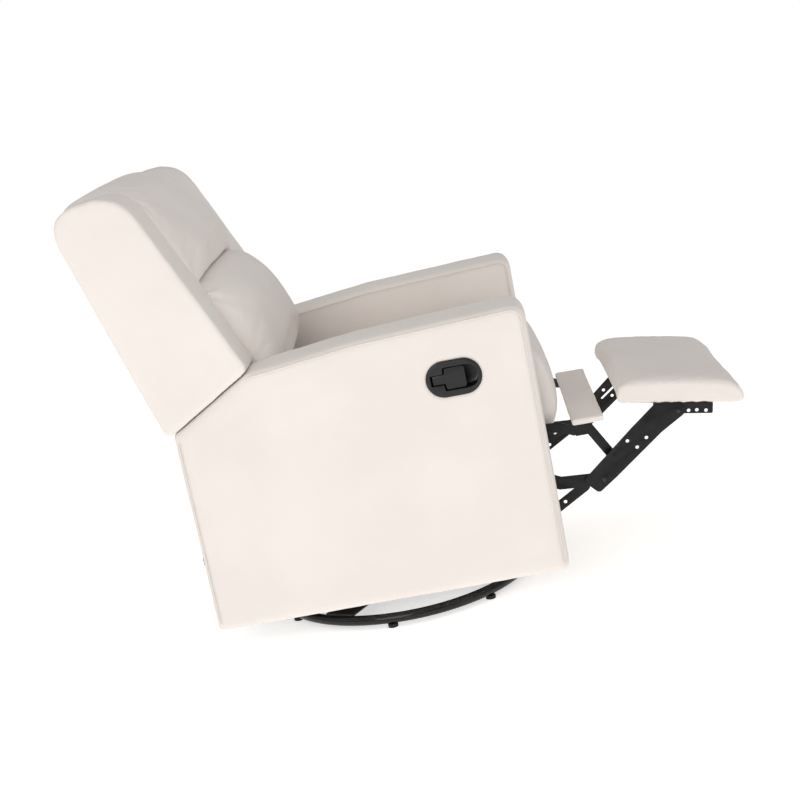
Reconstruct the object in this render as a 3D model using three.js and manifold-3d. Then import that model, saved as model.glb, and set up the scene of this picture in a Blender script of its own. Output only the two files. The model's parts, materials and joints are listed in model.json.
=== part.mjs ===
// Swivel glider recliner armchair: upholstered body on a steel mechanism and a ring base.
// Millimetres. +X points forward, +Y to the sitter's left, +Z up.
// Inside this file x = 0 is the rear edge of the arms and z = 0 their lower edge; the last lines
// move the chair so that its origin is at the bottom centre of its box.
import * as THREE from 'three';
import { mergeVertices } from 'three/addons/utils/BufferGeometryUtils.js';
import Module from 'manifold-3d';

const wasm = await Module();
wasm.setup();

// ---- Driving dimensions -------------------------------------------------------------------
const BODY_WIDTH = 760; // outside of one arm to outside of the other
const ARM_WIDTH = 140;
const ARM_DEPTH = 733; // rear edge to front edge of an arm
const ARM_HEIGHT = 560; // lower edge to the top at the front
const ARM_REAR_HEIGHT = 423; // lower edge to where the back's side panel starts
const FLOOR_GAP = 90; // floor to the lower edge of the arms
const PADDING = 12; // foam and fabric round the arm frames
const BOARD = 18; // plywood
const STEEL = 3; // flat steel of the mechanism
const GAP = 0.3; // between touching pieces
const RUNNING = 1; // between steel layers that slide past each other
const BACK_HEIGHT = 905; // lower edge of the arms to the top of the back's rear
const BACK_SLOPE = 0.295; // how far the back leans for each millimetre of height
const SEAM_RISE = 0.583; // slope of the seam between arm and back
const SEAT_BASE = 300; // underside of the seat cushion
const SEAT_TOP = 452;
const SEAT_OVERHANG = 42; // seat front roll past the arm fronts
const RING_RADIUS = 285;
const RING_TUBE = 11; // tube radius
const RING_X = 376; // swivel axis
const BEARING_RADIUS = 95;
const GLIDE_HEIGHT = 8; // floor glides under the ring
const PAD_LENGTH = 258; // footrest pad, rear to front
const PAD_THICKNESS = 40;
const PAD_TILT = THREE.MathUtils.degToRad(10); // open footrest, front end lower
const FLAP_LENGTH = 67; // small middle flap of the footrest
const FLAP_THICKNESS = 13;
const PIN_RADIUS = 5;
const HOLE_RADIUS = 4;
const GLIDER_LINK = 100; // hanging links, pivot to pivot
const BEZEL_LENGTH = 113; // release handle recess, outside
const BEZEL_HEIGHT = 74;
const HANDLE_DEPTH = 40;

// ---- Places worked out from them ----------------------------------------------------------
const OUTER = BODY_WIDTH / 2;
const INNER = OUTER - ARM_WIDTH; // inner face of an arm
const PIN_CLEARANCE = 0.4;
// Steel layers of the footrest mechanism, from the arm inwards, as distances from the centre.
const LONG_LINK_OUT = INNER - 4;
const LONG_LINK_IN = LONG_LINK_OUT - STEEL;
const LINK_OUT = LONG_LINK_IN - RUNNING;
const LINK_IN = LINK_OUT - STEEL;
const PLATE_OUT = LINK_IN - RUNNING;
const PLATE_IN = PLATE_OUT - STEEL;
const UPPER_LINK_OUT = PLATE_IN - RUNNING; // the upper links run on the plates' inner side
const UPPER_LINK_IN = UPPER_LINK_OUT - STEEL;
const FRAME_HALF = PLATE_IN - RUNNING; // half width of the seat frame
const ROLL_HALF = PLATE_IN - 13; // the seat cushion passes between the mechanism plates
const PAD_HALF = PLATE_OUT;
const FLAP_HALF = LINK_IN - RUNNING; // the flap passes over the upper links
const RIVET_HEAD = 2;
const backX = (z) => -15 - BACK_SLOPE * (z - ARM_REAR_HEIGHT + 4); // rear face of the back
const seamZ = (x) => ARM_REAR_HEIGHT + SEAM_RISE * x;

// Footrest pivots with the footrest open, in the side view.
const LOWER_PIVOT = [ARM_DEPTH - 101, SEAT_BASE - 103];
const UPPER_PIVOT = [ARM_DEPTH - 84, SEAT_BASE - 32];
const KNEE = [ARM_DEPTH + 108, SEAT_BASE - 167]; // lower link to long link
const CROSSING = [ARM_DEPTH + 135, SEAT_BASE - 124]; // upper link to long link
const PAD_PIVOT = [ARM_DEPTH + 283, SEAT_BASE - 50]; // long link to pad bracket
const BACK_PIVOT = [50, SEAT_BASE + 30];

// Glider: the hanging links' upper pivots, on the swivelling frame.
const HANGER_PIVOT_Z = 88;
const HANGER_FRONT_X = RING_X + 140;
const HANGER_REAR_X = RING_X - 140;
const HANGER_IN = 150;
const HANGER_OUT = HANGER_IN + 4;
const GLIDER_LINK_IN = HANGER_OUT + 2;
const GLIDER_LINK_OUT = GLIDER_LINK_IN + 4;
const RAIL_IN = GLIDER_LINK_OUT + 2;
const RAIL_OUT = RAIL_IN + 4;
const STRETCHER_Z = HANGER_PIVOT_Z + 18;
const RAIL_BOTTOM = HANGER_PIVOT_Z - GLIDER_LINK - 16;

// ---- Materials ----------------------------------------------------------------------------
const paint = (color, roughness, metalness = 0) =>
  new THREE.MeshStandardMaterial({ color, roughness, metalness });
const FABRIC = paint(0xe9e1da, 0.85);
const WOOD = paint(0xc9a877, 0.7);
const BLACK_STEEL = paint(0x15151a, 0.45, 0.6);
const RING_PAINT = paint(0x0c0c0e, 0.2, 0.5);
const BLACK_PLASTIC = paint(0x18181b, 0.4);
const RUBBER = paint(0x101010, 0.9);
const SPRING_STEEL = paint(0x7d7f84, 0.4, 0.9);

// ---- Outlines -----------------------------------------------------------------------------
// Rounds the corners of a closed outline given as [x, z, radius] points.
function rounded(corners, steps = 4) {
  const outline = [];
  corners.forEach(([x, z, radius = 0], i) => {
    const corner = new THREE.Vector2(x, z);
    if (radius === 0) {
      outline.push(corner);
      return;
    }
    const before = new THREE.Vector2(...corners[(i + corners.length - 1) % corners.length]);
    const after = new THREE.Vector2(...corners[(i + 1) % corners.length]);
    const toBefore = before.sub(corner).normalize();
    const toAfter = after.sub(corner).normalize();
    const halfAngle = Math.acos(THREE.MathUtils.clamp(toBefore.dot(toAfter), -1, 1)) / 2;
    const reach = radius / Math.tan(halfAngle);
    const start = corner.clone().addScaledVector(toBefore, reach);
    const end = corner.clone().addScaledVector(toAfter, reach);
    outline.push(...new THREE.QuadraticBezierCurve(start, corner, end).getPoints(steps));
  });
  return outline;
}

// Moves every edge of an outline inwards. The corners run anticlockwise.
function inset(corners, distance) {
  return corners.map(([x, z, radius = 0], i) => {
    const [xBefore, zBefore] = corners[(i + corners.length - 1) % corners.length];
    const [xAfter, zAfter] = corners[(i + 1) % corners.length];
    const into = new THREE.Vector2(x - xBefore, z - zBefore).normalize();
    const out = new THREE.Vector2(xAfter - x, zAfter - z).normalize();
    const miter = new THREE.Vector2(-into.y - out.y, into.x + out.x).normalize();
    const reach = distance / (miter.x * -into.y + miter.y * into.x);
    return [x + miter.x * reach, z + miter.y * reach, Math.max(radius - distance, 0)];
  });
}

// A flat bar with round ends along a bent centreline.
function barOutline(points, halfWidth, steps = 5) {
  const line = points.map(([x, z]) => new THREE.Vector2(x, z));
  const last = line.length - 1;
  const heading = (i) => line[i + 1].clone().sub(line[i]).normalize();
  const side = (i) => {
    const a = heading(Math.max(i - 1, 0));
    const b = heading(Math.min(i, last - 1));
    const normal = new THREE.Vector2(-a.y - b.y, a.x + b.x).normalize();
    return normal.multiplyScalar(halfWidth / (normal.x * -a.y + normal.y * a.x));
  };
  const roundEnd = (centre, angle) =>
    Array.from({ length: steps + 1 }, (_, k) => {
      const turn = angle + Math.PI / 2 - (Math.PI * k) / steps;
      return new THREE.Vector2(
        centre.x + halfWidth * Math.cos(turn),
        centre.y + halfWidth * Math.sin(turn),
      );
    });
  const upper = line.slice(1, last).map((p, i) => p.clone().add(side(i + 1)));
  const lower = line.slice(1, last).map((p, i) => p.clone().sub(side(i + 1)));
  return [
    ...upper,
    ...roundEnd(line[last], heading(last - 1).angle()),
    ...lower.reverse(),
    ...roundEnd(line[0], heading(0).angle() + Math.PI),
  ];
}

function shapeOf(outline, holes = [], holeSteps = 10) {
  const shape = new THREE.Shape(outline);
  for (const [x, z, radius] of holes) {
    const ring = Array.from({ length: holeSteps }, (_, k) => {
      const turn = (2 * Math.PI * k) / holeSteps;
      return new THREE.Vector2(x + radius * Math.cos(turn), z + radius * Math.sin(turn));
    });
    shape.holes.push(new THREE.Path(ring));
  }
  return shape;
}

// ---- Solids -------------------------------------------------------------------------------
// A side-view shape made solid between two distances from the centre plane, on one side of it.
function slab(shape, from, to, side = 1, bevel = 0, bevelDepth = bevel) {
  const settings = { depth: to - from - 2 * bevelDepth, bevelEnabled: bevel > 0 };
  if (bevel > 0) {
    Object.assign(settings, { bevelThickness: bevelDepth, bevelSize: bevel });
    Object.assign(settings, { bevelOffset: -bevel, bevelSegments: 2 });
  }
  const geometry = new THREE.ExtrudeGeometry(shape, settings);
  geometry.rotateX(Math.PI / 2);
  const outerEdge = side > 0 ? to : -from;
  geometry.translate(0, outerEdge - bevelDepth, 0);
  return geometry;
}

function block(x0, x1, y0, y1, z0, z1) {
  const geometry = new THREE.BoxGeometry(x1 - x0, y1 - y0, z1 - z0);
  geometry.translate((x0 + x1) / 2, (y0 + y1) / 2, (z0 + z1) / 2);
  return geometry;
}

// A round pin across the chair, between two distances from the centre plane on one side.
function crossPin([x, z], radius, from, to, side, sides = 12) {
  const geometry = new THREE.CylinderGeometry(radius, radius, to - from, sides);
  geometry.translate(x, (side * (from + to)) / 2, z);
  return geometry;
}

function solid(geometry) {
  const bare = geometry.clone();
  bare.deleteAttribute('normal');
  bare.deleteAttribute('uv');
  const merged = mergeVertices(bare.index ? bare.toNonIndexed() : bare, 1e-3);
  return new wasm.Manifold(
    new wasm.Mesh({
      numProp: 3,
      vertProperties: new Float32Array(merged.attributes.position.array),
      triVerts: new Uint32Array(merged.index.array),
    }),
  );
}

function geometryOf(manifold) {
  const mesh = manifold.getMesh();
  const geometry = new THREE.BufferGeometry();
  geometry.setAttribute('position', new THREE.BufferAttribute(mesh.vertProperties, 3));
  geometry.setIndex(new THREE.BufferAttribute(mesh.triVerts, 1));
  geometry.computeVertexNormals();
  return geometry;
}

const cut = (body, ...tools) =>
  geometryOf(tools.reduce((rest, tool) => rest.subtract(solid(tool)), solid(body)));
const join = (body, ...others) =>
  geometryOf(others.reduce((whole, other) => whole.add(solid(other)), solid(body)));

function piece(group, name, geometry, material) {
  const mesh = new THREE.Mesh(geometry, material);
  mesh.name = name;
  group.add(mesh);
  return mesh;
}

const SIDES = [['right', -1], ['left', 1]];

// ---- Ring base ----------------------------------------------------------------------------
function makeBase() {
  const base = new THREE.Group();
  const ringBottom = -FLOOR_GAP + GLIDE_HEIGHT;
  const ringTop = ringBottom + 2 * RING_TUBE;
  base.position.set(RING_X, 0, 0);
  const ring = new THREE.TorusGeometry(RING_RADIUS, RING_TUBE, 8, 44);
  piece(base, 'ring_tube', ring, RING_PAINT).position.z = ringBottom + RING_TUBE;

  const plateThickness = 4;
  const plateZ = ringTop + GAP + plateThickness / 2;
  const legHalf = 36;
  const legs = [35, -35, 120, -120].map((angle) => {
    const leg = new THREE.BoxGeometry(RING_RADIUS, 2 * legHalf, plateThickness);
    leg.translate(RING_RADIUS / 2, 0, 0);
    return leg.rotateZ(THREE.MathUtils.degToRad(angle));
  });
  const hub = new THREE.CylinderGeometry(BEARING_RADIUS, BEARING_RADIUS, plateThickness, 24);
  hub.rotateX(Math.PI / 2);
  piece(base, 'base_cross', join(hub, ...legs), BLACK_STEEL).position.z = plateZ;
  const bearingZ = ringTop + plateThickness + 2 * GAP;
  const bearingHeight = 6;
  const race = [
    [0, 0], [BEARING_RADIUS, 0], [BEARING_RADIUS, 3], [60, bearingHeight],
    [14, bearingHeight], [14, 14], [0, 14],
  ];
  const bearing = new THREE.LatheGeometry(race.map(([r, z]) => new THREE.Vector2(r, z)), 24);
  bearing.rotateX(Math.PI / 2);
  piece(base, 'swivel_bearing', bearing, BLACK_STEEL).position.z = bearingZ;

  const glideAngles = [23, 50, 96, 150];
  const glide = new THREE.CylinderGeometry(9, 11, GLIDE_HEIGHT - GAP, 12);
  glide.rotateX(Math.PI / 2);
  glideAngles.flatMap((angle) => [angle, -angle]).forEach((angle, i) => {
    const turn = THREE.MathUtils.degToRad(angle);
    const foot = piece(base, `floor_glide_${i + 1}`, glide.clone(), RUBBER);
    foot.position.set(
      RING_RADIUS * Math.cos(turn),
      RING_RADIUS * Math.sin(turn),
      -FLOOR_GAP + (GLIDE_HEIGHT - GAP) / 2,
    );
  });
  return { base, bearingTop: bearingZ + bearingHeight };
}

// ---- Swivelling frame and hanging links -----------------------------------------------------
function makeGlider(bearingTop) {
  const glider = new THREE.Group();
  const plateZ = bearingTop + RUNNING;
  const plateThickness = 4;
  const front = HANGER_FRONT_X + 28;
  const rear = HANGER_REAR_X - 28;
  const turningPlate = cut(
    block(rear, front, -HANGER_OUT, HANGER_OUT, plateZ, plateZ + plateThickness),
    block(rear + 60, RING_X - 60, -HANGER_IN + 40, HANGER_IN - 40, plateZ - 5, plateZ + 10),
    block(RING_X + 60, front - 60, -HANGER_IN + 40, HANGER_IN - 40, plateZ - 5, plateZ + 10),
    new THREE.CylinderGeometry(14.5, 14.5, 20, 24).rotateX(Math.PI / 2).translate(RING_X, 0, plateZ),
  );
  piece(glider, 'turning_plate', turningPlate, BLACK_STEEL);

  const hangerFoot = plateZ + plateThickness + GAP;
  const towers = rounded([
    [rear, hangerFoot],
    [front, hangerFoot],
    [front - 8, HANGER_PIVOT_Z + 16, 8],
    [HANGER_FRONT_X - 20, HANGER_PIVOT_Z + 16, 8],
    [HANGER_FRONT_X - 40, hangerFoot + 40, 12],
    [HANGER_REAR_X + 40, hangerFoot + 40, 12],
    [HANGER_REAR_X + 20, HANGER_PIVOT_Z + 16, 8],
    [rear + 8, HANGER_PIVOT_Z + 16, 8],
  ]);
  const pivotHole = PIN_RADIUS + PIN_CLEARANCE;
  const pivots = [HANGER_FRONT_X, HANGER_REAR_X];
  for (const [label, side] of SIDES) {
    const shape = shapeOf(towers, pivots.map((x) => [x, HANGER_PIVOT_Z, pivotHole]));
    piece(glider, `glider_hanger_${label}`, slab(shape, HANGER_IN, HANGER_OUT, side), BLACK_STEEL);
  }
  for (const [place, x] of [['front', HANGER_FRONT_X], ['rear', HANGER_REAR_X]]) {
    const top = [x, HANGER_PIVOT_Z];
    const bottom = [x, HANGER_PIVOT_Z - GLIDER_LINK];
    for (const [label, side] of SIDES) {
      const link = join(
        slab(shapeOf(barOutline([bottom, top], 12)), GLIDER_LINK_IN, GLIDER_LINK_OUT, side),
        crossPin(top, PIN_RADIUS, HANGER_IN - 3, GLIDER_LINK_IN + 1, side),
        crossPin(bottom, PIN_RADIUS, GLIDER_LINK_OUT - 1, RAIL_OUT + 3, side),
      );
      piece(glider, `${place}_glider_link_${label}`, link, BLACK_STEEL);
    }
  }
  return glider;
}

// ---- Carriage: arms, stretchers, glider rails -------------------------------------------------
const armCorners = [
  [0, 0],
  [ARM_DEPTH, 0],
  [ARM_DEPTH, ARM_HEIGHT, 26],
  [ARM_DEPTH * 0.53, ARM_HEIGHT - 14, 40],
  [(ARM_HEIGHT - 38 - ARM_REAR_HEIGHT) / SEAM_RISE, ARM_HEIGHT - 38],
  [0, ARM_REAR_HEIGHT],
];
const BEZEL_CENTRE = [ARM_DEPTH - 158, ARM_HEIGHT - 120];

function stadium([x, z], length, height) {
  const straight = length / 2 - height / 2;
  return barOutline([[x - straight, z], [x + straight, z]], height / 2, 8);
}

function makeArms() {
  const arms = new THREE.Group();
  const frameIn = INNER + PADDING + 2;
  const frameOut = frameIn + BOARD;
  const cupLength = BEZEL_LENGTH - 12;
  const cupHeight = BEZEL_HEIGHT - 12;
  for (const [label, side] of SIDES) {
    const cavity = rounded(
      inset(armCorners, PADDING).map(([x, z, r], i) => [x, i < 2 ? -PADDING : z, r]),
    );
    const tools = [slab(shapeOf(cavity), INNER + PADDING, OUTER - PADDING, side)];
    if (side < 0) {
      const opening = shapeOf(stadium(BEZEL_CENTRE, cupLength + 1, cupHeight + 1));
      tools.push(slab(opening, OUTER - PADDING - 5, OUTER + 5, side));
    }
    const cover = cut(slab(shapeOf(rounded(armCorners)), INNER, OUTER, side, 5), ...tools);
    piece(arms, `arm_cover_${label}`, cover, FABRIC);

    const frame = rounded(inset(armCorners, PADDING + 2).map(([x, z, r]) => [x, Math.max(z, 2), r]));
    const window = rounded(
      inset(armCorners, PADDING + 2 + 70).map(([x, z, r], i) => [x, i < 2 ? 90 : z, Math.max(r, 10)]),
    );
    const board = cut(
      slab(shapeOf(frame), frameIn, frameOut, side),
      slab(shapeOf(window), frameIn - 5, frameOut + 5, side),
    );
    piece(arms, `arm_frame_${label}`, board, WOOD);
  }

  const wall = 3;
  const lip = 4;
  const flange = slab(
    shapeOf(stadium(BEZEL_CENTRE, BEZEL_LENGTH, BEZEL_HEIGHT)), OUTER + GAP, OUTER + lip, -1, 1.5,
  );
  const cup = slab(
    shapeOf(stadium(BEZEL_CENTRE, cupLength, cupHeight)), OUTER - HANDLE_DEPTH, OUTER + 1, -1,
  );
  const hollow = slab(
    shapeOf(stadium(BEZEL_CENTRE, cupLength - 2 * wall, cupHeight - 2 * wall)),
    OUTER - HANDLE_DEPTH + wall, OUTER + 10, -1,
  );
  const bezel = geometryOf(solid(flange).add(solid(cup)).subtract(solid(hollow)));
  piece(arms, 'handle_bezel', bezel, BLACK_PLASTIC);
  return arms;
}

// The paddle hinges at the rear of its recess and is pulled out by its front edge.
const PADDLE_HINGE_X = BEZEL_CENTRE[0] - BEZEL_LENGTH / 2 + 16;
function makePaddle() {
  const x0 = PADDLE_HINGE_X;
  const z = BEZEL_CENTRE[1];
  const front = x0 + 64;
  const corners = [
    [x0 - 3, z - 9, 3], [x0 + 22, z - 9], [x0 + 28, z - 23, 4], [front, z - 23, 8],
    [front, z + 23, 8], [x0 + 28, z + 23, 4], [x0 + 22, z + 9], [x0 - 3, z + 9, 3],
  ];
  const face = slab(shapeOf(rounded(corners)), OUTER - 10, OUTER - 4, -1);
  const stem = block(x0 + 30, x0 + 44, -(OUTER - 9), -(OUTER - 26), z - 14, z + 14);
  return join(face, stem);
}

function makeCarriage() {
  const carriage = new THREE.Group();
  const half = INNER - GAP;
  const crossBoard = (x0, x1) => block(x0, x1, -half, half, STRETCHER_Z, STRETCHER_Z + 40);
  piece(carriage, 'front_stretcher', crossBoard(380, 380 + 2 * BOARD), WOOD);
  piece(carriage, 'rear_stretcher', crossBoard(60, 60 + 2 * BOARD), WOOD);
  const panel = block(2, 17, -FRAME_HALF, FRAME_HALF, STRETCHER_Z, ARM_REAR_HEIGHT - 11);
  piece(carriage, 'rear_panel', panel, FABRIC);

  const railTop = STRETCHER_Z - GAP;
  const railFront = HANGER_FRONT_X + 40;
  const rail = rounded([
    [-46, 78, 4], [-30, 78], [30, RAIL_BOTTOM, 10], [railFront, RAIL_BOTTOM, 8],
    [railFront, RAIL_BOTTOM + 36, 8], [425, RAIL_BOTTOM + 44, 10], [425, railTop],
    [372, railTop], [366, RAIL_BOTTOM + 50, 10], [120, RAIL_BOTTOM + 50, 10],
    [104, railTop], [40, railTop], [-46, 100, 4],
  ]);
  const lower = HANGER_PIVOT_Z - GLIDER_LINK;
  const pivotHole = PIN_RADIUS + PIN_CLEARANCE;
  const holes = [HANGER_FRONT_X, HANGER_REAR_X].map((x) => [x, lower, pivotHole]);
  const trackIn = PLATE_OUT + RUNNING;
  for (const [label, side] of SIDES) {
    piece(carriage, `glider_rail_${label}`,
      slab(shapeOf(rail, holes), RAIL_IN, RAIL_OUT, side), BLACK_STEEL);
    const trackTop = SEAT_BASE - 16;
    const trackBottom = trackTop - 22;
    const track = rounded([
      [130, trackBottom, 4], [430, trackBottom, 4], [430, trackTop, 4], [130, trackTop, 4],
    ]);
    piece(carriage, `seat_track_${label}`,
      slab(shapeOf(track), trackIn, INNER - GAP, side), BLACK_STEEL);
    const [px, pz] = BACK_PIVOT;
    const post = rounded([
      [px - 18, pz - 90, 6], [px + 18, pz - 90, 6], [px + 18, pz + 18, 14], [px - 18, pz + 18, 14],
    ]);
    const bracket = join(
      slab(shapeOf(post, [[px, pz - 70, HOLE_RADIUS]]), LONG_LINK_OUT, INNER - GAP, side),
      crossPin(BACK_PIVOT, PIN_RADIUS, LINK_IN - 1, LONG_LINK_OUT + 1, side),
    );
    piece(carriage, `back_pivot_${label}`, bracket, BLACK_STEEL);
  }
  return carriage;
}

// ---- Back ---------------------------------------------------------------------------------
function makeBack() {
  const back = new THREE.Group();
  const seamStart = 4; // the back's side panels stay clear of the arms
  const wingCorners = [
    [backX(ARM_REAR_HEIGHT - 4), seamZ(backX(ARM_REAR_HEIGHT - 4)) + seamStart, 12],
    [177, seamZ(177) + seamStart, 12],
    [0, BACK_HEIGHT + 20, 92],
    [backX(BACK_HEIGHT), BACK_HEIGHT, 66],
  ];
  for (const [label, side] of SIDES) {
    const wing = slab(shapeOf(rounded(wingCorners, 6)), INNER + GAP, OUTER, side, 6);
    piece(back, `back_side_panel_${label}`, wing, FABRIC);
  }

  const strip = (x0, x1, z0, z1) => [
    [backX(z0) + x0, z0], [backX(z0) + x1, z0], [backX(z1) + x1, z1], [backX(z1) + x0, z1],
  ];
  const foot = ARM_REAR_HEIGHT + 5;
  const head = BACK_HEIGHT - 22;
  const coverThickness = 12;
  const frameRear = coverThickness + 1;
  const frameFront = frameRear + 22;
  const half = INNER - GAP;
  const cover = slab(shapeOf(rounded(strip(0, coverThickness, foot, head))), -half, half);
  piece(back, 'back_rear_cover', cover, FABRIC);

  const frameHalf = LINK_IN - GAP;
  const stile = 50;
  const frame = cut(
    slab(shapeOf(rounded(strip(frameRear, frameFront, foot + 6, head - 4))), -frameHalf, frameHalf),
    slab(shapeOf(rounded(strip(frameRear - 9, frameFront + 9, foot + 60, head - 60))),
      -frameHalf + stile, frameHalf - stile),
  );
  piece(back, 'back_frame', frame, WOOD);

  const pillowRear = frameFront + 1;
  const pillowHalf = INNER - 2;
  const crease = SEAT_TOP + 262;
  const lumbar = [
    [backX(SEAT_TOP + 12) + pillowRear, SEAT_TOP + 12],
    [252, SEAT_TOP + 16, 55], [256, SEAT_TOP + 160, 80],
    [150, crease - 1, 55], [backX(crease - 12) + pillowRear, crease - 12],
  ];
  const headPillow = [
    [backX(crease + 6) + pillowRear, crease + 6],
    [156, crease + 6, 34], [60, BACK_HEIGHT + 34, 60], [-20, BACK_HEIGHT + 42, 60],
    [backX(head + 2), head + 26], [backX(head + 2), head + 2],
    [backX(head + 2) + pillowRear, head + 2],
  ];
  piece(back, 'lumbar_pillow',
    slab(shapeOf(rounded(lumbar)), -pillowHalf, pillowHalf, 1, 16, 30), FABRIC);
  piece(back, 'head_pillow',
    slab(shapeOf(rounded(headPillow)), -pillowHalf, pillowHalf, 1, 8, 20), FABRIC);

  const middle = (frameRear + frameFront) / 2;
  const route = [
    BACK_PIVOT, [backX(foot + 15) + middle, foot + 15], [backX(foot + 130) + middle, foot + 130],
  ];
  const hole = [...BACK_PIVOT, PIN_RADIUS + PIN_CLEARANCE];
  for (const [label, side] of SIDES) {
    const bracket = slab(shapeOf(barOutline(route, 10.5), [hole]), LINK_IN, LINK_OUT, side);
    piece(back, `back_bracket_${label}`, bracket, BLACK_STEEL);
  }
  return back;
}

// ---- Seat ---------------------------------------------------------------------------------
// The room for an upper link's pivot at the front of a side rail.
function reliefFor(side, front, bottom, top) {
  const inner = UPPER_LINK_IN - GAP - RIVET_HEAD - RUNNING;
  const ends = [inner, FRAME_HALF + 5].map((y) => side * y).sort((a, b) => a - b);
  return block(UPPER_PIVOT[0] - 24, front + 5, ...ends, bottom - 5, top + 5);
}

function makeSeat() {
  const seat = new THREE.Group();
  const rear = 76;
  const front = ARM_DEPTH - 43;
  const railTop = SEAT_BASE - 2;
  const railBottom = SEAT_BASE - 38;
  const rail = 28;
  const frame = cut(
    block(rear, front, -FRAME_HALF, FRAME_HALF, railBottom, railTop),
    block(rear + rail, front - rail, -FRAME_HALF + rail, FRAME_HALF - rail,
      railBottom - 5, railTop + 5),
    ...SIDES.map(([, side]) => reliefFor(side, front, railBottom, railTop)),
  );
  piece(seat, 'seat_frame', frame, WOOD);

  const springs = 3;
  const pitch = (2 * (FRAME_HALF - rail)) / springs;
  const wire = 2.5;
  for (let i = 0; i < springs; i += 1) {
    const centreY = (i - (springs - 1) / 2) * pitch;
    const turns = 8;
    const start = rear + rail + wire + GAP;
    const length = front - rail - wire - GAP - start;
    const wave = Array.from({ length: turns * 3 + 1 }, (_, k) => new THREE.Vector3(
      start + (length * k) / (turns * 3),
      centreY + 26 * Math.sin((Math.PI * k) / 3),
      railBottom + 22,
    ));
    const section = new THREE.Shape(
      Array.from({ length: 5 }, (_, k) => new THREE.Vector2(
        wire * Math.cos((2 * Math.PI * k) / 5), wire * Math.sin((2 * Math.PI * k) / 5),
      )),
    );
    const spring = new THREE.ExtrudeGeometry(section, {
      steps: turns * 3, extrudePath: new THREE.CatmullRomCurve3(wave), bevelEnabled: false,
    });
    piece(seat, `seat_spring_${i + 1}`, spring, SPRING_STEEL);
  }

  const noseFront = ARM_DEPTH + SEAT_OVERHANG;
  const cushion = [
    [62, SEAT_BASE], [front + 8, SEAT_BASE], [front + 8, SEAT_BASE - 62],
    [noseFront - 14, SEAT_BASE - 62, 34], [noseFront + 2, SEAT_BASE + 20, 70],
    [noseFront - 26, SEAT_TOP, 60], [ARM_DEPTH - 300, SEAT_TOP - 6, 60], [62, SEAT_TOP - 20, 34],
  ];
  piece(seat, 'seat_cushion',
    slab(shapeOf(rounded(cushion)), -ROLL_HALF, ROLL_HALF, 1, 14, 24), FABRIC);

  const [lowerX, lowerZ] = LOWER_PIVOT;
  const [upperX, upperZ] = UPPER_PIVOT;
  const plate = rounded([
    [140, SEAT_BASE - 56, 8], [lowerX - 60, SEAT_BASE - 60, 30], [lowerX - 24, lowerZ - 18, 12],
    [lowerX + 20, lowerZ - 16, 12], [upperX + 26, upperZ - 20, 14], [upperX + 24, upperZ + 22, 10],
    [140, SEAT_BASE - 10, 8],
  ]);
  const holes = [200, 320, 440, 540].map((x) => [x, SEAT_BASE - 34, HOLE_RADIUS]);
  for (const [label, side] of SIDES) {
    const inner = UPPER_LINK_IN - GAP;
    const pins = [
      crossPin(LOWER_PIVOT, PIN_RADIUS, PLATE_OUT - 1, LINK_OUT + GAP + 0.5, side),
      crossPin(LOWER_PIVOT, PIN_RADIUS + 3, LINK_OUT + GAP, LINK_OUT + GAP + RIVET_HEAD, side),
      crossPin(UPPER_PIVOT, PIN_RADIUS, inner - 0.5, PLATE_IN + 1, side),
      crossPin(UPPER_PIVOT, PIN_RADIUS + 3, inner - RIVET_HEAD, inner, side),
    ];
    const body = join(slab(shapeOf(plate, holes), PLATE_IN, PLATE_OUT, side), ...pins);
    piece(seat, `mechanism_plate_${label}`, body, BLACK_STEEL);
  }
  return seat;
}

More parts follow.
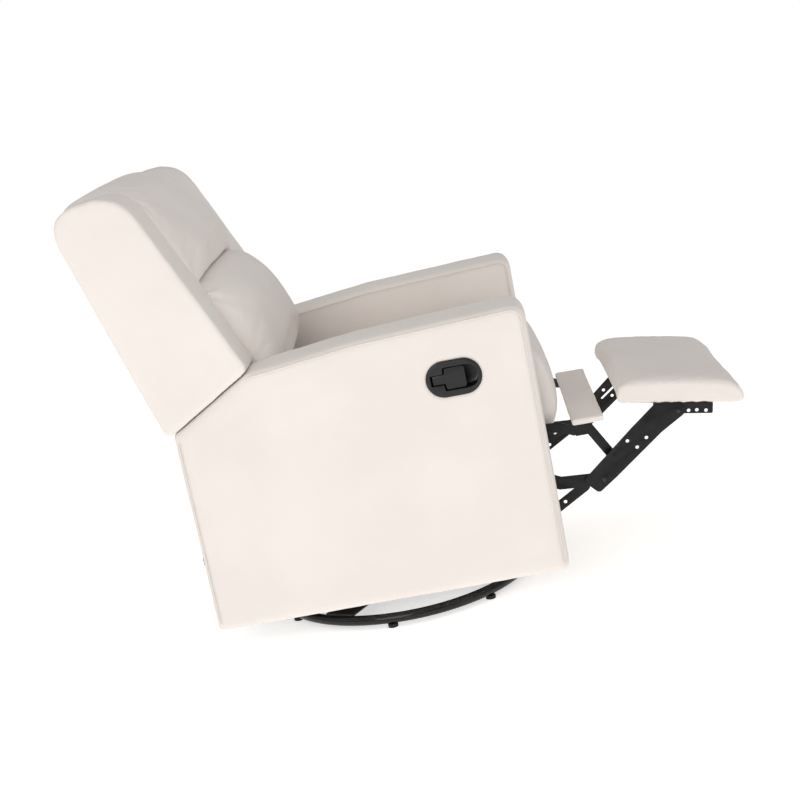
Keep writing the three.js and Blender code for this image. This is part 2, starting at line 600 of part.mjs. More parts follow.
// ---- Footrest -----------------------------------------------------------------------------
function makeFootrest() {
  const footrest = new THREE.Group();
  const hole = PIN_RADIUS + PIN_CLEARANCE;
  const F = ARM_DEPTH;
  const S = SEAT_BASE;
  const lowerLine = [LOWER_PIVOT, [F + 17, S - 160], KNEE];
  const lugLine = [[F + 66, S - 176], [F + 2, S - 212]];
  const upperLine = [UPPER_PIVOT, [F + 34, S - 41], [F + 64, S - 55], [F + 96, S - 55], CROSSING];
  const upperLug = [[F + 40, S - 45], [F + 12, S - 54]];
  const longCorners = [
    [F + 64, S - 163, 8], [F + 93, S - 195, 10], [F + 133, S - 168], [F + 242, S - 88],
    [F + 299, S - 55, 12], [F + 291, S - 34, 12], [F + 234, S - 28, 8], [F + 179, S - 70],
  ];
  const longHoles = [[F + 169, S - 94], [F + 209, S - 94], [F + 187, S - 111]];
  const headRadius = PIN_RADIUS + 3;
  const pinFor = (pivot, side) => [
    crossPin(pivot, PIN_RADIUS, LINK_IN - GAP - 0.5, LONG_LINK_IN + 1, side),
    crossPin(pivot, headRadius, LINK_IN - GAP - 1.5, LINK_IN - GAP, side),
    crossPin(pivot, headRadius, LONG_LINK_OUT - 1, LONG_LINK_OUT + 1.5, side),
  ];
  const slit = barOutline([[F + 162, S - 113], [F + 214, S - 76]], 2.5, 3);

  for (const [label, side] of SIDES) {
    const lower = join(
      slab(shapeOf(barOutline(lowerLine, 14), [[...LOWER_PIVOT, hole], [...KNEE, hole]]),
        LINK_IN, LINK_OUT, side),
      slab(shapeOf(barOutline(lugLine, 11), [[F + 20, S - 202, HOLE_RADIUS]]),
        LINK_IN, LINK_OUT, side),
    );
    piece(footrest, `lower_link_${label}`, lower, BLACK_STEEL);

    const flapFoot = S - 47;
    const tabEnds = [UPPER_LINK_IN - 30, UPPER_LINK_OUT].map((y) => side * y);
    const webEnds = [UPPER_LINK_IN, UPPER_LINK_OUT].map((y) => side * y);
    tabEnds.sort((a, b) => a - b);
    webEnds.sort((a, b) => a - b);
    const upper = join(
      slab(shapeOf(barOutline(upperLine, 10), [[...UPPER_PIVOT, hole]]),
        UPPER_LINK_IN, UPPER_LINK_OUT, side),
      slab(shapeOf(barOutline(upperLug, 12), [[F + 25, S - 52, HOLE_RADIUS]]),
        UPPER_LINK_IN, UPPER_LINK_OUT, side),
      crossPin(CROSSING, headRadius, UPPER_LINK_IN - RIVET_HEAD, UPPER_LINK_IN + 1, side),
      block(F + 66, F + 92, ...webEnds, flapFoot - 20, flapFoot + STEEL),
      block(F + 66, F + 92, ...tabEnds, flapFoot, flapFoot + STEEL),
    );
    piece(footrest, `upper_link_${label}`, upper, BLACK_STEEL);

    const holes = longHoles.map(([x, z]) => [x, z, HOLE_RADIUS]);
    const body = slab(shapeOf(rounded(longCorners), holes), LONG_LINK_IN, LONG_LINK_OUT, side);
    const slot = slab(shapeOf(slit), LONG_LINK_IN - 5, LONG_LINK_OUT + 5, side);
    const plain = side > 0 ? cut(body, slot) : body;
    const long = join(
      plain, ...pinFor(KNEE, side), ...pinFor(PAD_PIVOT, side),
      crossPin(CROSSING, headRadius, LONG_LINK_OUT - 1, LONG_LINK_OUT + 1.5, side),
    );
    piece(footrest, `long_link_${label}`, long, BLACK_STEEL);
  }

  // The flap sits on the upper links' tabs and leans a little.
  const flapTilt = THREE.MathUtils.degToRad(1);
  const flap = slab(
    shapeOf(rounded([
      [0, 0, 3], [FLAP_LENGTH, 0, 3], [FLAP_LENGTH, FLAP_THICKNESS, 3], [0, FLAP_THICKNESS, 3],
    ])),
    -FLAP_HALF, FLAP_HALF, 1, 2,
  );
  const flapMesh = piece(footrest, 'footrest_flap', flap, FABRIC);
  flapMesh.position.set(F + 62, 0, S - 43 + GAP);
  flapMesh.rotation.y = flapTilt;

  // The pad turns about its pivot; everything on it is drawn from there.
  const board = new THREE.Group();
  board.position.set(PAD_PIVOT[0], 0, PAD_PIVOT[1]);
  board.rotation.y = PAD_TILT;
  const padRear = -PAD_LENGTH / 2 + 5;
  const padFront = PAD_LENGTH / 2 + 5;
  const boardBottom = 17;
  const boardTop = boardBottom + 5.4;
  const flangeHoles = [[22, 0], [39, 1], [58, 0], [-17, 0], [-36, 0]];
  for (const [label, side] of SIDES) {
    const flange = rounded([[-52, -6, 3], [72, -6, 3], [72, boardBottom - GAP], [-52, boardBottom - GAP]]);
    const tabEnds = [LINK_IN - 34, LINK_IN + 1].map((y) => side * y).sort((a, b) => a - b);
    const bracket = join(
      slab(shapeOf(flange, [[0, 0, hole], ...flangeHoles.map(([x, z]) => [x, z, HOLE_RADIUS])]),
        LINK_IN, LINK_OUT, side),
      block(-50, 70, ...tabEnds, boardBottom - GAP - STEEL, boardBottom - GAP),
    );
    piece(board, `pad_bracket_${label}`, bracket, BLACK_STEEL);
  }
  piece(board, 'pad_board',
    block(padRear + 10, padFront - 10, -PAD_HALF + 14, PAD_HALF - 14, boardBottom, boardTop), WOOD);
  const padTop = boardTop + GAP + PAD_THICKNESS;
  const pad = rounded([
    [padRear, boardTop + GAP], [padFront, boardTop + GAP],
    [padFront, padTop - 12, 18], [padFront - 60, padTop, 30],
    [padRear + 60, padTop, 30], [padRear, padTop - 12, 18],
  ]);
  piece(board, 'footrest_pad', slab(shapeOf(pad), -PAD_HALF, PAD_HALF, 1, 8), FABRIC);
  footrest.add(board);
  return footrest;
}

// ---- Chair --------------------------------------------------------------------------------
const chair = new THREE.Group();
const { base, bearingTop } = makeBase();
chair.add(base, makeGlider(bearingTop), makeArms(), makeCarriage());
chair.add(makeBack(), makeSeat(), makeFootrest());
piece(chair, 'release_paddle', makePaddle(), BLACK_PLASTIC);

chair.updateMatrixWorld(true);
const reach = new THREE.Box3().setFromObject(chair, true);
chair.position.set(-(reach.min.x + reach.max.x) / 2, 0, -reach.min.z);

export default chair;
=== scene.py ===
"""Looks of a swivel glider recliner armchair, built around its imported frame.

Metres, +X forward from the sitter, +Y to the sitter's left, +Z up. Sizes and places come from
the frame's own nodes; what is written here as a number is a size of a soft or finished piece.
"""
import json
import math

import bmesh
import bpy
import numpy as np
from mathutils import Matrix, Vector, noise

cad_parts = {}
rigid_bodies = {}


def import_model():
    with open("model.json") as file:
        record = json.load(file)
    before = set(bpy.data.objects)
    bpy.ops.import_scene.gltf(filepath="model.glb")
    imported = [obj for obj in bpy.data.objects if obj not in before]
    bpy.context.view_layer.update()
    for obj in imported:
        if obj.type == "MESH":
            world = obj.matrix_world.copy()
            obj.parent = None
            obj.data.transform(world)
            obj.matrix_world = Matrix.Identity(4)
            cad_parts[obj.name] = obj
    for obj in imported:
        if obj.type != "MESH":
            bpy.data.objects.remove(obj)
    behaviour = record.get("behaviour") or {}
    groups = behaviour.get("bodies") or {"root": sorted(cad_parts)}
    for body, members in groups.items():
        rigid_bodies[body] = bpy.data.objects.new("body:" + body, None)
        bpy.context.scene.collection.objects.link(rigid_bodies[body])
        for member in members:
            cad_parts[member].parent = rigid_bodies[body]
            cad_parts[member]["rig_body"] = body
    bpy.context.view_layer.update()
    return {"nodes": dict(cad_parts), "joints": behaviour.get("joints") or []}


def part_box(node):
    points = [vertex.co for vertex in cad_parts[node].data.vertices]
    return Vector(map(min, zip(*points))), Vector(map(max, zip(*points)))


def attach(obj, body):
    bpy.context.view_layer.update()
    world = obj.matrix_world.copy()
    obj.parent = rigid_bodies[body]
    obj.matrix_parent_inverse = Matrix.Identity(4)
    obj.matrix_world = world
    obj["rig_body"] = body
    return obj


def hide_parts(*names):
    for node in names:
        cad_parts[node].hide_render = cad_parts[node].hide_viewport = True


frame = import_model()
joints = {j["name"]: j for j in frame["joints"]}

MM = 0.001
SIDES = (("right", -1), ("left", 1))

# ---- Sizes of the soft and finished pieces ----
PANEL_VOXEL = 5.5 * MM
PANEL_INSET = 1 * MM  # how far a panel's form starts inside its CAD solid, before it swells
ARM_EDGE = 9 * MM
ARM_BULGE = 2.2 * MM
ARM_CROWN = 5 * MM
WING_EDGE = 4 * MM
WING_BULGE = 1.4 * MM
WING_CROWN = 1 * MM
BULGE_RUN = 45 * MM  # how far in from its rim a panel's face reaches its full bulge
SEAM_DIP = 0.6 * MM
SEAM_DIP_FROM_RIM = 12 * MM
SEAM_DIP_WIDTH = 6 * MM
PUCKER_DEPTH = 0.7 * MM
PUCKER_REACH = 16 * MM
WAVE_DEPTH = 0.9 * MM

WELT_RADIUS = 1.6 * MM
WELT_SUNK = 0.9 * MM
SEAM_INSET = 6.5 * MM
STITCHES_FROM_WELT = 4.5 * MM
STITCH_LIFT = 0.25 * MM
STITCH_LENGTH = 4 * MM
STITCH_PITCH = 6.5 * MM
STITCH_RADIUS = 0.45 * MM
SEAM_FROM_BELOW = 14 * MM  # the arms' seams stop this far above their lower edge

SEAM_SLOPE = 0.583
ARM_REAR_RISE = 0.423  # lower edge of an arm to the seam at its rear edge
ARM_FRONT_RISE = 0.56
ARM_MIDDLE_DROP = 14 * MM  # how much lower the arm's top is half way back than at the front
ARM_REAR_DROP = 38 * MM
BACK_COVERS = 0.165  # length of an arm's rear rim that the back's side panel covers
HANDLE_HOLE = (0.104, 0.065)

PILLOW_LAP = 28 * MM  # the pillows' covers lap over the back's side panels
PILLOW_VOXEL = 6.5 * MM
PILLOW_SWELL = 12 * MM
PILLOW_FULLNESS = 2.3
SEAT_SHRINK = 6 * MM  # the seat's form starts this much smaller than its CAD solid
SEAT_FRONT_ROLL = 85 * MM  # seat front to the seam behind its front roll
PAD_LAP = 6 * MM
PAD_TILT = math.radians(10)

CUSHION_PRESSURE = 4.0
CLOTH_STIFFNESS = 10.0
CLOTH_FRAMES = 20

RIVET_RADIUS = 4.2 * MM
RIVET_HEIGHT = 1.6 * MM
PADDLE_BEHIND_RIM = 2.5 * MM
PADDLE_THICKNESS = 7 * MM
SPRING_BENDS = 14
SPRING_WIRE_RADIUS = 1.9 * MM


# ---- Selecting and finishing ----
def select_only(obj):
    bpy.ops.object.select_all(action="DESELECT")
    obj.select_set(True)
    bpy.context.view_layer.objects.active = obj


def apply_modifiers(obj):
    select_only(obj)
    for modifier in list(obj.modifiers):
        bpy.ops.object.modifier_apply(modifier=modifier.name)


def settle(obj):
    """Puts an object's place into its mesh."""
    select_only(obj)
    bpy.ops.object.transform_apply(location=True, rotation=True, scale=True)


def smooth(obj, degrees):
    select_only(obj)
    bpy.ops.object.shade_smooth_by_angle(angle=math.radians(degrees))


def new_object(name, data):
    obj = bpy.data.objects.new(name, data)
    bpy.context.scene.collection.objects.link(obj)
    return obj


def join_all(objects, name):
    bpy.ops.object.select_all(action="DESELECT")
    for obj in objects:
        obj.select_set(True)
    bpy.context.view_layer.objects.active = objects[0]
    if len(objects) > 1:
        bpy.ops.object.join()
    bpy.context.object.name = name
    return bpy.context.object


def finish_piece(obj, body, material, slot, *nodes):
    """Gives a finished piece its material, its body and the nodes that it stands for; the slot is
    not used.
    """
    obj.data.materials.clear()
    obj.data.materials.append(material)
    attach(obj, body)
    if nodes:
        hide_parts(*nodes)


def coordinates(obj):
    points = np.zeros(len(obj.data.vertices) * 3)
    obj.data.vertices.foreach_get("co", points)
    return points.reshape(-1, 3)


def vertex_normals(obj):
    normals = np.zeros(len(obj.data.vertices) * 3)
    obj.data.vertex_normals.foreach_get("vector", normals)
    return normals.reshape(-1, 3)


def place_vertices(obj, points):
    obj.data.vertices.foreach_set("co", points.ravel())
    obj.data.update()


# ---- Outlines ----
def rounded(corners, steps=6):
    """A closed outline from (x, z, radius) corners, with the corners rounded."""
    outline = []
    for i, (x, z, radius) in enumerate(corners):
        corner = Vector((x, z))
        if radius == 0:
            outline.append(corner)
            continue
        before = (Vector(corners[i - 1][:2]) - corner).normalized()
        after = (Vector(corners[(i + 1) % len(corners)][:2]) - corner).normalized()
        reach = radius / math.tan(before.angle(after) / 2)
        start, end = corner + before * reach, corner + after * reach
        for k in range(steps + 1):
            t = k / steps
            outline.append(start * (1 - t) ** 2 + corner * 2 * t * (1 - t) + end * t * t)
    return outline


def stadium(centre, length, height, steps=16):
    """A closed outline with two straight sides and round ends."""
    x, z = centre
    straight = (length - height) / 2
    outline = []
    for end, start in ((1, -math.pi / 2), (-1, math.pi / 2)):
        for k in range(steps + 1):
            turn = start + math.pi * k / steps
            outline.append(Vector((
                x + end * straight + height / 2 * math.cos(turn), z + height / 2 * math.sin(turn),
            )))
    return outline


def inset(outline, distance):
    """Moves a closed outline inwards; the outline runs anticlockwise."""
    moved = []
    for i, point in enumerate(outline):
        before = (point - outline[i - 1]).normalized()
        after = (outline[(i + 1) % len(outline)] - point).normalized()
        miter = Vector((-before.y - after.y, before.x + after.x)).normalized()
        share = max(miter.dot(Vector((-before.y, before.x))), 0.4)
        moved.append(point + miter * distance / share)
    return moved


def evenly(points, spacing, closed):
    """Points at an even spacing along a line."""
    line = [Vector(p) for p in points]
    if closed:
        line.append(line[0])
    lengths = [0.0]
    for a, b in zip(line, line[1:]):
        lengths.append(lengths[-1] + (b - a).length)
    count = max(int(lengths[-1] / spacing), 2)
    result, i = [], 0
    for k in range(count if closed else count + 1):
        target = lengths[-1] * k / count
        while i < len(line) - 2 and lengths[i + 1] < target:
            i += 1
        share = (target - lengths[i]) / max(lengths[i + 1] - lengths[i], 1e-9)
        result.append(line[i].lerp(line[i + 1], share))
    return result


def outline_distance(points, outline):
    """How far each (x, z) point is from a closed outline."""
    nearest = np.full(len(points), 1e9)
    ends = outline[1:] + outline[:1]
    for a, b in zip(outline, ends):
        start, along = np.array(a), np.array(b) - np.array(a)
        share = np.clip(((points - start) @ along) / max(along @ along, 1e-12), 0, 1)
        gap = np.linalg.norm(points - start - share[:, None] * along, axis=1)
        nearest = np.minimum(nearest, gap)
    return nearest


# ---- Solids ----
def outline_solid(name, outline, y0, y1):
    """A side-view outline extruded across the chair."""
    bpy.ops.mesh.primitive_circle_add(vertices=len(outline), radius=1, fill_type="NGON")
    obj = bpy.context.object
    obj.name = name
    for vertex, (x, z) in zip(obj.data.vertices, outline):
        vertex.co = (x, y0, z)
    bpy.ops.object.mode_set(mode="EDIT")
    bpy.ops.mesh.select_all(action="SELECT")
    bpy.ops.mesh.extrude_region_move(TRANSFORM_OT_translate={"value": (0, y1 - y0, 0)})
    bpy.ops.mesh.select_all(action="SELECT")
    bpy.ops.mesh.normals_make_consistent(inside=False)
    bpy.ops.object.mode_set(mode="OBJECT")
    return obj


def bevel_edges(obj, width, segments, degrees):
    """Rounds the edges that turn by more than that angle."""
    edges = obj.modifiers.new("Edges", "BEVEL")
    edges.width = width
    edges.segments = segments
    edges.limit_method = "ANGLE"
    edges.angle_limit = math.radians(degrees)
    apply_modifiers(obj)


def edit_where(obj, kind, keep):
    """Goes into edit mode with only the edges or faces selected that keep() accepts."""
    select_only(obj)
    bpy.ops.object.mode_set(mode="EDIT")
    bpy.ops.mesh.select_mode(type=kind)
    bpy.ops.mesh.select_all(action="DESELECT")
    mesh = bmesh.from_edit_mesh(obj.data)
    for part in mesh.edges if kind == "EDGE" else mesh.faces:
        if keep(part):
            part.select = True
    bmesh.update_edit_mesh(obj.data)


def bevel_rims(obj, width):
    """Rounds the edges that run round an extruded outline, at both ends."""
    edit_where(obj, "EDGE", lambda e: abs(e.verts[0].co.y - e.verts[1].co.y) < 1e-6)
    bpy.ops.mesh.bevel(offset=width, segments=3, profile=0.5, affect="EDGES")
    bpy.ops.object.mode_set(mode="OBJECT")


def cylinder(name, radius, height, place, sides, **turn):
    bpy.ops.mesh.primitive_cylinder_add(
        vertices=sides, radius=radius, depth=height, location=place, **turn,
    )
    obj = bpy.context.object
    obj.name = name
    settle(obj)
    return obj


def relax(obj, times):
    """Softens a mesh by moving each point towards its neighbours."""
    modifier = obj.modifiers.new("Relax", "SMOOTH")
    modifier.factor = 0.5
    modifier.iterations = times
    apply_modifiers(obj)


def remesh(obj, voxel, smoothing):
    """Makes an even skin of small faces, and softens it."""
    modifier = obj.modifiers.new("Remesh", "REMESH")
    modifier.mode = "VOXEL"
    modifier.voxel_size = voxel
    relax(obj, smoothing)


def subtract(obj, cutter):
    """Cuts one closed solid out of another, and removes the cutter."""
    modifier = obj.modifiers.new("Pocket", "BOOLEAN")
    modifier.operation = "DIFFERENCE"
    modifier.solver = "EXACT"
    modifier.object = cutter
    apply_modifiers(obj)
    bpy.data.objects.remove(cutter)


def tube(name, points, radius, resolution):
    """A round cord or wire along points, closed at its ends."""
    curve = bpy.data.curves.new(name, "CURVE")
    curve.dimensions = "3D"
    curve.bevel_depth = radius
    curve.bevel_resolution = resolution
    curve.use_fill_caps = True
    spline = curve.splines.new("POLY")
    spline.points.add(len(points) - 1)
    for point, place in zip(spline.points, points):
        point.co = (*place, 1)
    select_only(new_object(name, curve))
    bpy.ops.object.convert(target="MESH")
    obj = bpy.context.object
    smooth(obj, 60)
    return obj


def stitches(name, points, normal):
    """A row of thread stitches along points, lying on a surface with that normal."""
    places = evenly(points, STITCH_PITCH, False)
    bpy.ops.mesh.primitive_uv_sphere_add(segments=6, ring_count=4, radius=1)
    seed = bpy.context.object
    seed.scale = (STITCH_LENGTH / 2, STITCH_RADIUS, STITCH_RADIUS)
    settle(seed)
    base = coordinates(seed)
    faces = [tuple(p.vertices) for p in seed.data.polygons]
    bpy.data.objects.remove(seed)
    vertices, polygons = [], []
    for i, place in enumerate(places):
        ahead, behind = places[min(i + 1, len(places) - 1)], places[max(i - 1, 0)]
        along = (ahead - behind).normalized()
        across = Vector(normal).cross(along).normalized()
        turn = np.array([along, across, along.cross(across)])
        first = len(vertices)
        vertices.extend(map(tuple, base @ turn + np.array(place)))
        polygons.extend(tuple(first + k for k in face) for face in faces)
    mesh = bpy.data.meshes.new(name)
    mesh.from_pydata(vertices, [], polygons)
    obj = new_object(name, mesh)
    smooth(obj, 80)
    return obj


def copy_of_node(node, name):
    """A welded copy of a CAD node's mesh, as the start of a finished piece."""
    obj = new_object(name, frame["nodes"][node].data.copy())
    select_only(obj)
    bpy.ops.object.mode_set(mode="EDIT")
    bpy.ops.mesh.select_all(action="SELECT")
    bpy.ops.mesh.remove_doubles(threshold=1e-5)
    bpy.ops.mesh.dissolve_limited(angle_limit=math.radians(1))
    bpy.ops.object.mode_set(mode="OBJECT")
    return obj


# ---- Node groups shared by the materials ----
def new_group(name, inputs, outputs):
    group = bpy.data.node_groups.new(name, "ShaderNodeTree")
    for label, kind, value in inputs:
        socket = group.interface.new_socket(label, in_out="INPUT", socket_type=f"NodeSocket{kind}")
        socket.default_value = value
    for label, kind in outputs:
        group.interface.new_socket(label, in_out="OUTPUT", socket_type=f"NodeSocket{kind}")
    return group, group.nodes.new("NodeGroupInput"), group.nodes.new("NodeGroupOutput")


def add_node(tree, kind, links=(), **settings):
    """Adds a node, sets its properties, and links or fills its inputs."""
    made = tree.nodes.new(kind)
    for key, value in settings.items():
        setattr(made, key, value)
    for socket, source in dict(links).items():
        if hasattr(source, "is_output"):
            tree.links.new(source, made.inputs[socket])
        else:
            made.inputs[socket].default_value = source
    return made


def math_node(tree, operation, a, b=0.0):
    return add_node(tree, "ShaderNodeMath", {0: a, 1: b}, operation=operation).outputs[0]


def mix_colours(tree, share, first, second):
    links = {0: share, 6: first, 7: second}  # the factor and the two colours of a colour mix
    return add_node(tree, "ShaderNodeMix", links, data_type="RGBA").outputs[2]


def object_place(tree):
    return tree.nodes.new("ShaderNodeTexCoord").outputs["Object"]


def cloud_node(tree, scale, detail, **links):
    """Noise in the object's own space, or along a Vector if one is given."""
    links = {"Vector": object_place(tree), "Scale": scale, "Detail": detail, **links}
    return add_node(tree, "ShaderNodeTexNoise", links).outputs["Fac"]


def ranged(tree, value, low, high, to_low=0.0, to_high=1.0):
    """A value moved from one range to another."""
    links = {"Value": value, "From Min": low, "From Max": high, "To Min": to_low, "To Max": to_high}
    return add_node(tree, "ShaderNodeMapRange", links).outputs["Result"]


WAVE_LENGTH = math.pi / 10  # of a wave texture whose scale is 1


def weave_group():
    """Crossed threads: a bump height, and a mask high on the threads, for painted shade between
    them.
    """
    group, given, result = new_group(
        "Crossed threads", [("Thread pitch", "Float", 0.0009), ("Slub", "Float", 0.3)],
        [("Height", "Float"), ("Mask", "Float")],
    )
    place = object_place(group)
    frequency = math_node(group, "DIVIDE", WAVE_LENGTH, given.outputs["Thread pitch"])
    waves = []
    for axis in "XYZ":
        wave = add_node(
            group, "ShaderNodeTexWave", {"Vector": place, "Scale": frequency, "Distortion": 0.6,
                                         "Detail": 1.0, "Detail Scale": 0.4},
            bands_direction=axis,
        )
        waves.append(wave.outputs["Fac"])
    crossed = math_node(group, "ADD", math_node(group, "ADD", waves[0], waves[1]), waves[2])
    lumps = math_node(group, "MULTIPLY", cloud_node(group, 420.0, 2.0), given.outputs["Slub"])
    height = math_node(group, "ADD", math_node(group, "MULTIPLY", crossed, 0.33), lumps)
    group.links.new(height, result.inputs["Height"])
    group.links.new(ranged(group, height, 0.3, 0.95), result.inputs["Mask"])
    return group


def edge_group():
    """A mask of edges, from how sharply the surface turns: worn on steel and plastic, painted
    highlight on cloth.
    """
    group, given, result = new_group(
        "Edge wear and painted highlight", [("Start", "Float", 0.52), ("Full", "Float", 0.62), ("Breakup", "Float", 0.5)],
        [("Mask", "Float")],
    )
    turn = group.nodes.new("ShaderNodeNewGeometry").outputs["Pointiness"]
    edge = ranged(group, turn, given.outputs["Start"], given.outputs["Full"])
    broken = ranged(group, cloud_node(group, 60.0, 4.0), 0.35, 0.65)
    kept = math_node(group, "MULTIPLY", broken, given.outputs["Breakup"])
    share = math_node(group, "SUBTRACT", 1.0, given.outputs["Breakup"])
    wear_and_highlight = math_node(group, "MULTIPLY", edge, math_node(group, "ADD", kept, share))
    group.links.new(wear_and_highlight, result.inputs["Mask"])
    return group


def mottle_group():
    """Slow variation over a surface, around zero to one, for colour and roughness."""
    group, given, result = new_group(
        "Mottle", [("Size", "Float", 6.0), ("Detail", "Float", 3.0)], [("Value", "Float")],
    )
    cloud = cloud_node(group, given.outputs["Size"], given.outputs["Detail"], Roughness=0.55)
    group.links.new(ranged(group, cloud, 0.3, 0.7), result.inputs["Value"])
    return group


def grain_group():
    """Fine lumps of paint or moulded plastic."""
    group, given, result = new_group("Fine grain", [("Size", "Float", 900.0)], [("Height", "Float")])
    group.links.new(cloud_node(group, given.outputs["Size"], 2.0), result.inputs["Height"])
    return group


def dust_group():
    """A mask of dust that lies on what faces up."""
    group, given, result = new_group("Dust", [("Amount", "Float", 0.3)], [("Mask", "Float")])
    normal = group.nodes.new("ShaderNodeNewGeometry").outputs["Normal"]
    up = add_node(group, "ShaderNodeSeparateXYZ", {"Vector": normal}).outputs["Z"]
    patches = ranged(group, cloud_node(group, 35.0, 5.0), 0.3, 0.75)
    lying = math_node(group, "MULTIPLY", ranged(group, up, 0.3, 0.95), patches)
    dusty = math_node(group, "MULTIPLY", lying, given.outputs["Amount"])
    group.links.new(dusty, result.inputs["Mask"])
    return group


GROUPS = {
    "weave": weave_group(), "edge": edge_group(), "mottle": mottle_group(),
    "grain": grain_group(), "dust": dust_group(),
}


def use_group(tree, key, **values):
    """Adds a shared group and returns its outputs; underscores stand for spaces in names."""
    made = tree.nodes.new("ShaderNodeGroup")
    made.node_tree = GROUPS[key]
    for label, value in values.items():
        made.inputs[label.replace("_", " ")].default_value = value
    return made.outputs


def new_material(name, **settings):
    """A material whose uniform values are set on the shader's own sockets."""
    material = bpy.data.materials.new(name)
    material.use_nodes = True
    shader = material.node_tree.nodes["Principled BSDF"]
    for label, value in settings.items():
        shader.inputs[label.replace("_", " ")].default_value = value
    return material, material.node_tree, shader


def surface(tree, shader, colour, rough, height, strength, distance=0.0002):
    """Links a material's colour and roughness, and bumps it by a height."""
    links = {"Height": height, "Strength": strength, "Distance": distance}
    bumped = add_node(tree, "ShaderNodeBump", links).outputs["Normal"]
    for socket, source in (("Base Color", colour), ("Roughness", rough), ("Normal", bumped)):
        tree.links.new(source, shader.inputs[socket])


# ---- Materials ----
CREAM = (0.845, 0.79, 0.745)
CREAM_SHADE = (0.80, 0.745, 0.70)
BARE_STEEL = (0.16, 0.16, 0.165, 1)
DUST = (0.35, 0.33, 0.3, 1)
PLY_DARK = (0.36, 0.23, 0.12, 1)
PLY_PALE = (0.62, 0.45, 0.27, 1)


def cloth_material(name, colour, shade, pitch=0.0009, strength=0.35):
    """Smooth upholstery cloth, fine weave, painted shade between threads, painted highlight on its
    edges.
    """
    material, tree, shader = new_material(
        name, Roughness=0.82, Sheen_Weight=0.12, Sheen_Roughness=0.5, Specular_IOR_Level=0.25,
    )
    height, threads = use_group(tree, "weave", Thread_pitch=pitch, Slub=0.35)
    cloud = use_group(tree, "mottle", Size=5.0, Detail=4.0)[0]
    wear_and_highlight = use_group(tree, "edge", Start=0.505, Full=0.56, Breakup=0.4)[0]
    tone = mix_colours(tree, cloud, (*shade, 1), (*colour, 1))
    # Painted highlight: the colour is made paler along the cloth's rounded edges, where light
    # catches them.
    lit = tuple(min(c * 1.05, 1) for c in colour)
    rubbed_and_highlighted = mix_colours(tree, math_node(tree, "MULTIPLY", wear_and_highlight, 0.5), tone, (*lit, 1))
    # Painted shade: the cloth is darker between its threads, in the hollows of the weave.
    between = tuple(c * 0.9 for c in shade)
    weave = mix_colours(tree, ranged(tree, threads, 0, 1, 0.88, 1.0), (*between, 1), rubbed_and_highlighted)
    rough = ranged(tree, cloud, 0, 1, 0.76, 0.88)
    surface(tree, shader, weave, rough, height, strength, 0.0004)
    return material


def coated_steel(name, colour, rough_low, rough_high, coat, coat_rough, grain):
    """Painted steel: fine grain, a little dust, and bare metal at rubbed edges."""
    material, tree, shader = new_material(
        name, Coat_Weight=coat, Coat_Roughness=coat_rough, Specular_IOR_Level=0.22,
    )
    lumps = use_group(tree, "grain", Size=700.0)[0]
    cloud = use_group(tree, "mottle", Size=40.0, Detail=3.0)[0]
    wear_and_highlight = use_group(tree, "edge", Start=0.54, Full=0.66, Breakup=0.8)[0]
    dust = use_group(tree, "dust", Amount=0.03)[0]
    lighter = tuple(c * 1.6 + 0.004 for c in colour)
    paint = mix_colours(tree, cloud, (*colour, 1), (*lighter, 1))
    bare = mix_colours(tree, math_node(tree, "MULTIPLY", wear_and_highlight, 0.35), paint, BARE_STEEL)
    dusty = mix_colours(tree, dust, bare, DUST)
    rough = ranged(tree, cloud, 0, 1, rough_low, rough_high)
    surface(tree, shader, dusty, rough, lumps, grain)
    return material


def moulded_plastic(name, colour, rough, strength):
    """Plastic or rubber with fine grain, paler where an edge is rubbed."""
    material, tree, shader = new_material(name, Specular_IOR_Level=0.35)
    lumps = use_group(tree, "grain", Size=1500.0)[0]
    cloud = use_group(tree, "mottle", Size=60.0, Detail=2.0)[0]
    wear_and_highlight = use_group(tree, "edge", Start=0.53, Full=0.62, Breakup=0.3)[0]
    lighter = tuple(c * 2.2 + 0.01 for c in colour)
    rubbed_and_highlighted = math_node(tree, "MULTIPLY", wear_and_highlight, 0.6)
    tone = mix_colours(tree, rubbed_and_highlighted, (*colour, 1), (*lighter, 1))
    spread = ranged(tree, cloud, 0, 1, rough * 0.85, rough * 1.15)
    surface(tree, shader, tone, spread, lumps, strength)
    return material


def bare_metal(name, colour, rough):
    """Unpainted steel wire and rivets, unevenly dull."""
    material, tree, shader = new_material(name, Metallic=1.0)
    lumps = use_group(tree, "grain", Size=500.0)[0]
    cloud = use_group(tree, "mottle", Size=120.0, Detail=3.0)[0]
    darker = tuple(c * 0.7 for c in colour)
    tone = mix_colours(tree, cloud, (*darker, 1), (*colour, 1))
    spread = ranged(tree, cloud, 0, 1, rough, rough * 1.6)
    surface(tree, shader, tone, spread, lumps, 0.15)
    return material


def plywood_material():
    """Plywood with its figure drawn out along the chair."""
    material, tree, shader = new_material("bare_plywood", Specular_IOR_Level=0.3)
    place = object_place(tree)
    stretched = add_node(tree, "ShaderNodeMapping", {"Vector": place, "Scale": (3, 30, 30)})
    figure = cloud_node(tree, 4.0, 6.0, Vector=stretched.outputs["Vector"], Distortion=0.6)
    tone = mix_colours(tree, ranged(tree, figure, 0.3, 0.7), PLY_DARK, PLY_PALE)
    rough = ranged(tree, figure, 0.3, 0.7, 0.75, 0.6)
    surface(tree, shader, tone, rough, figure, 0.3, 0.0005)
    return material


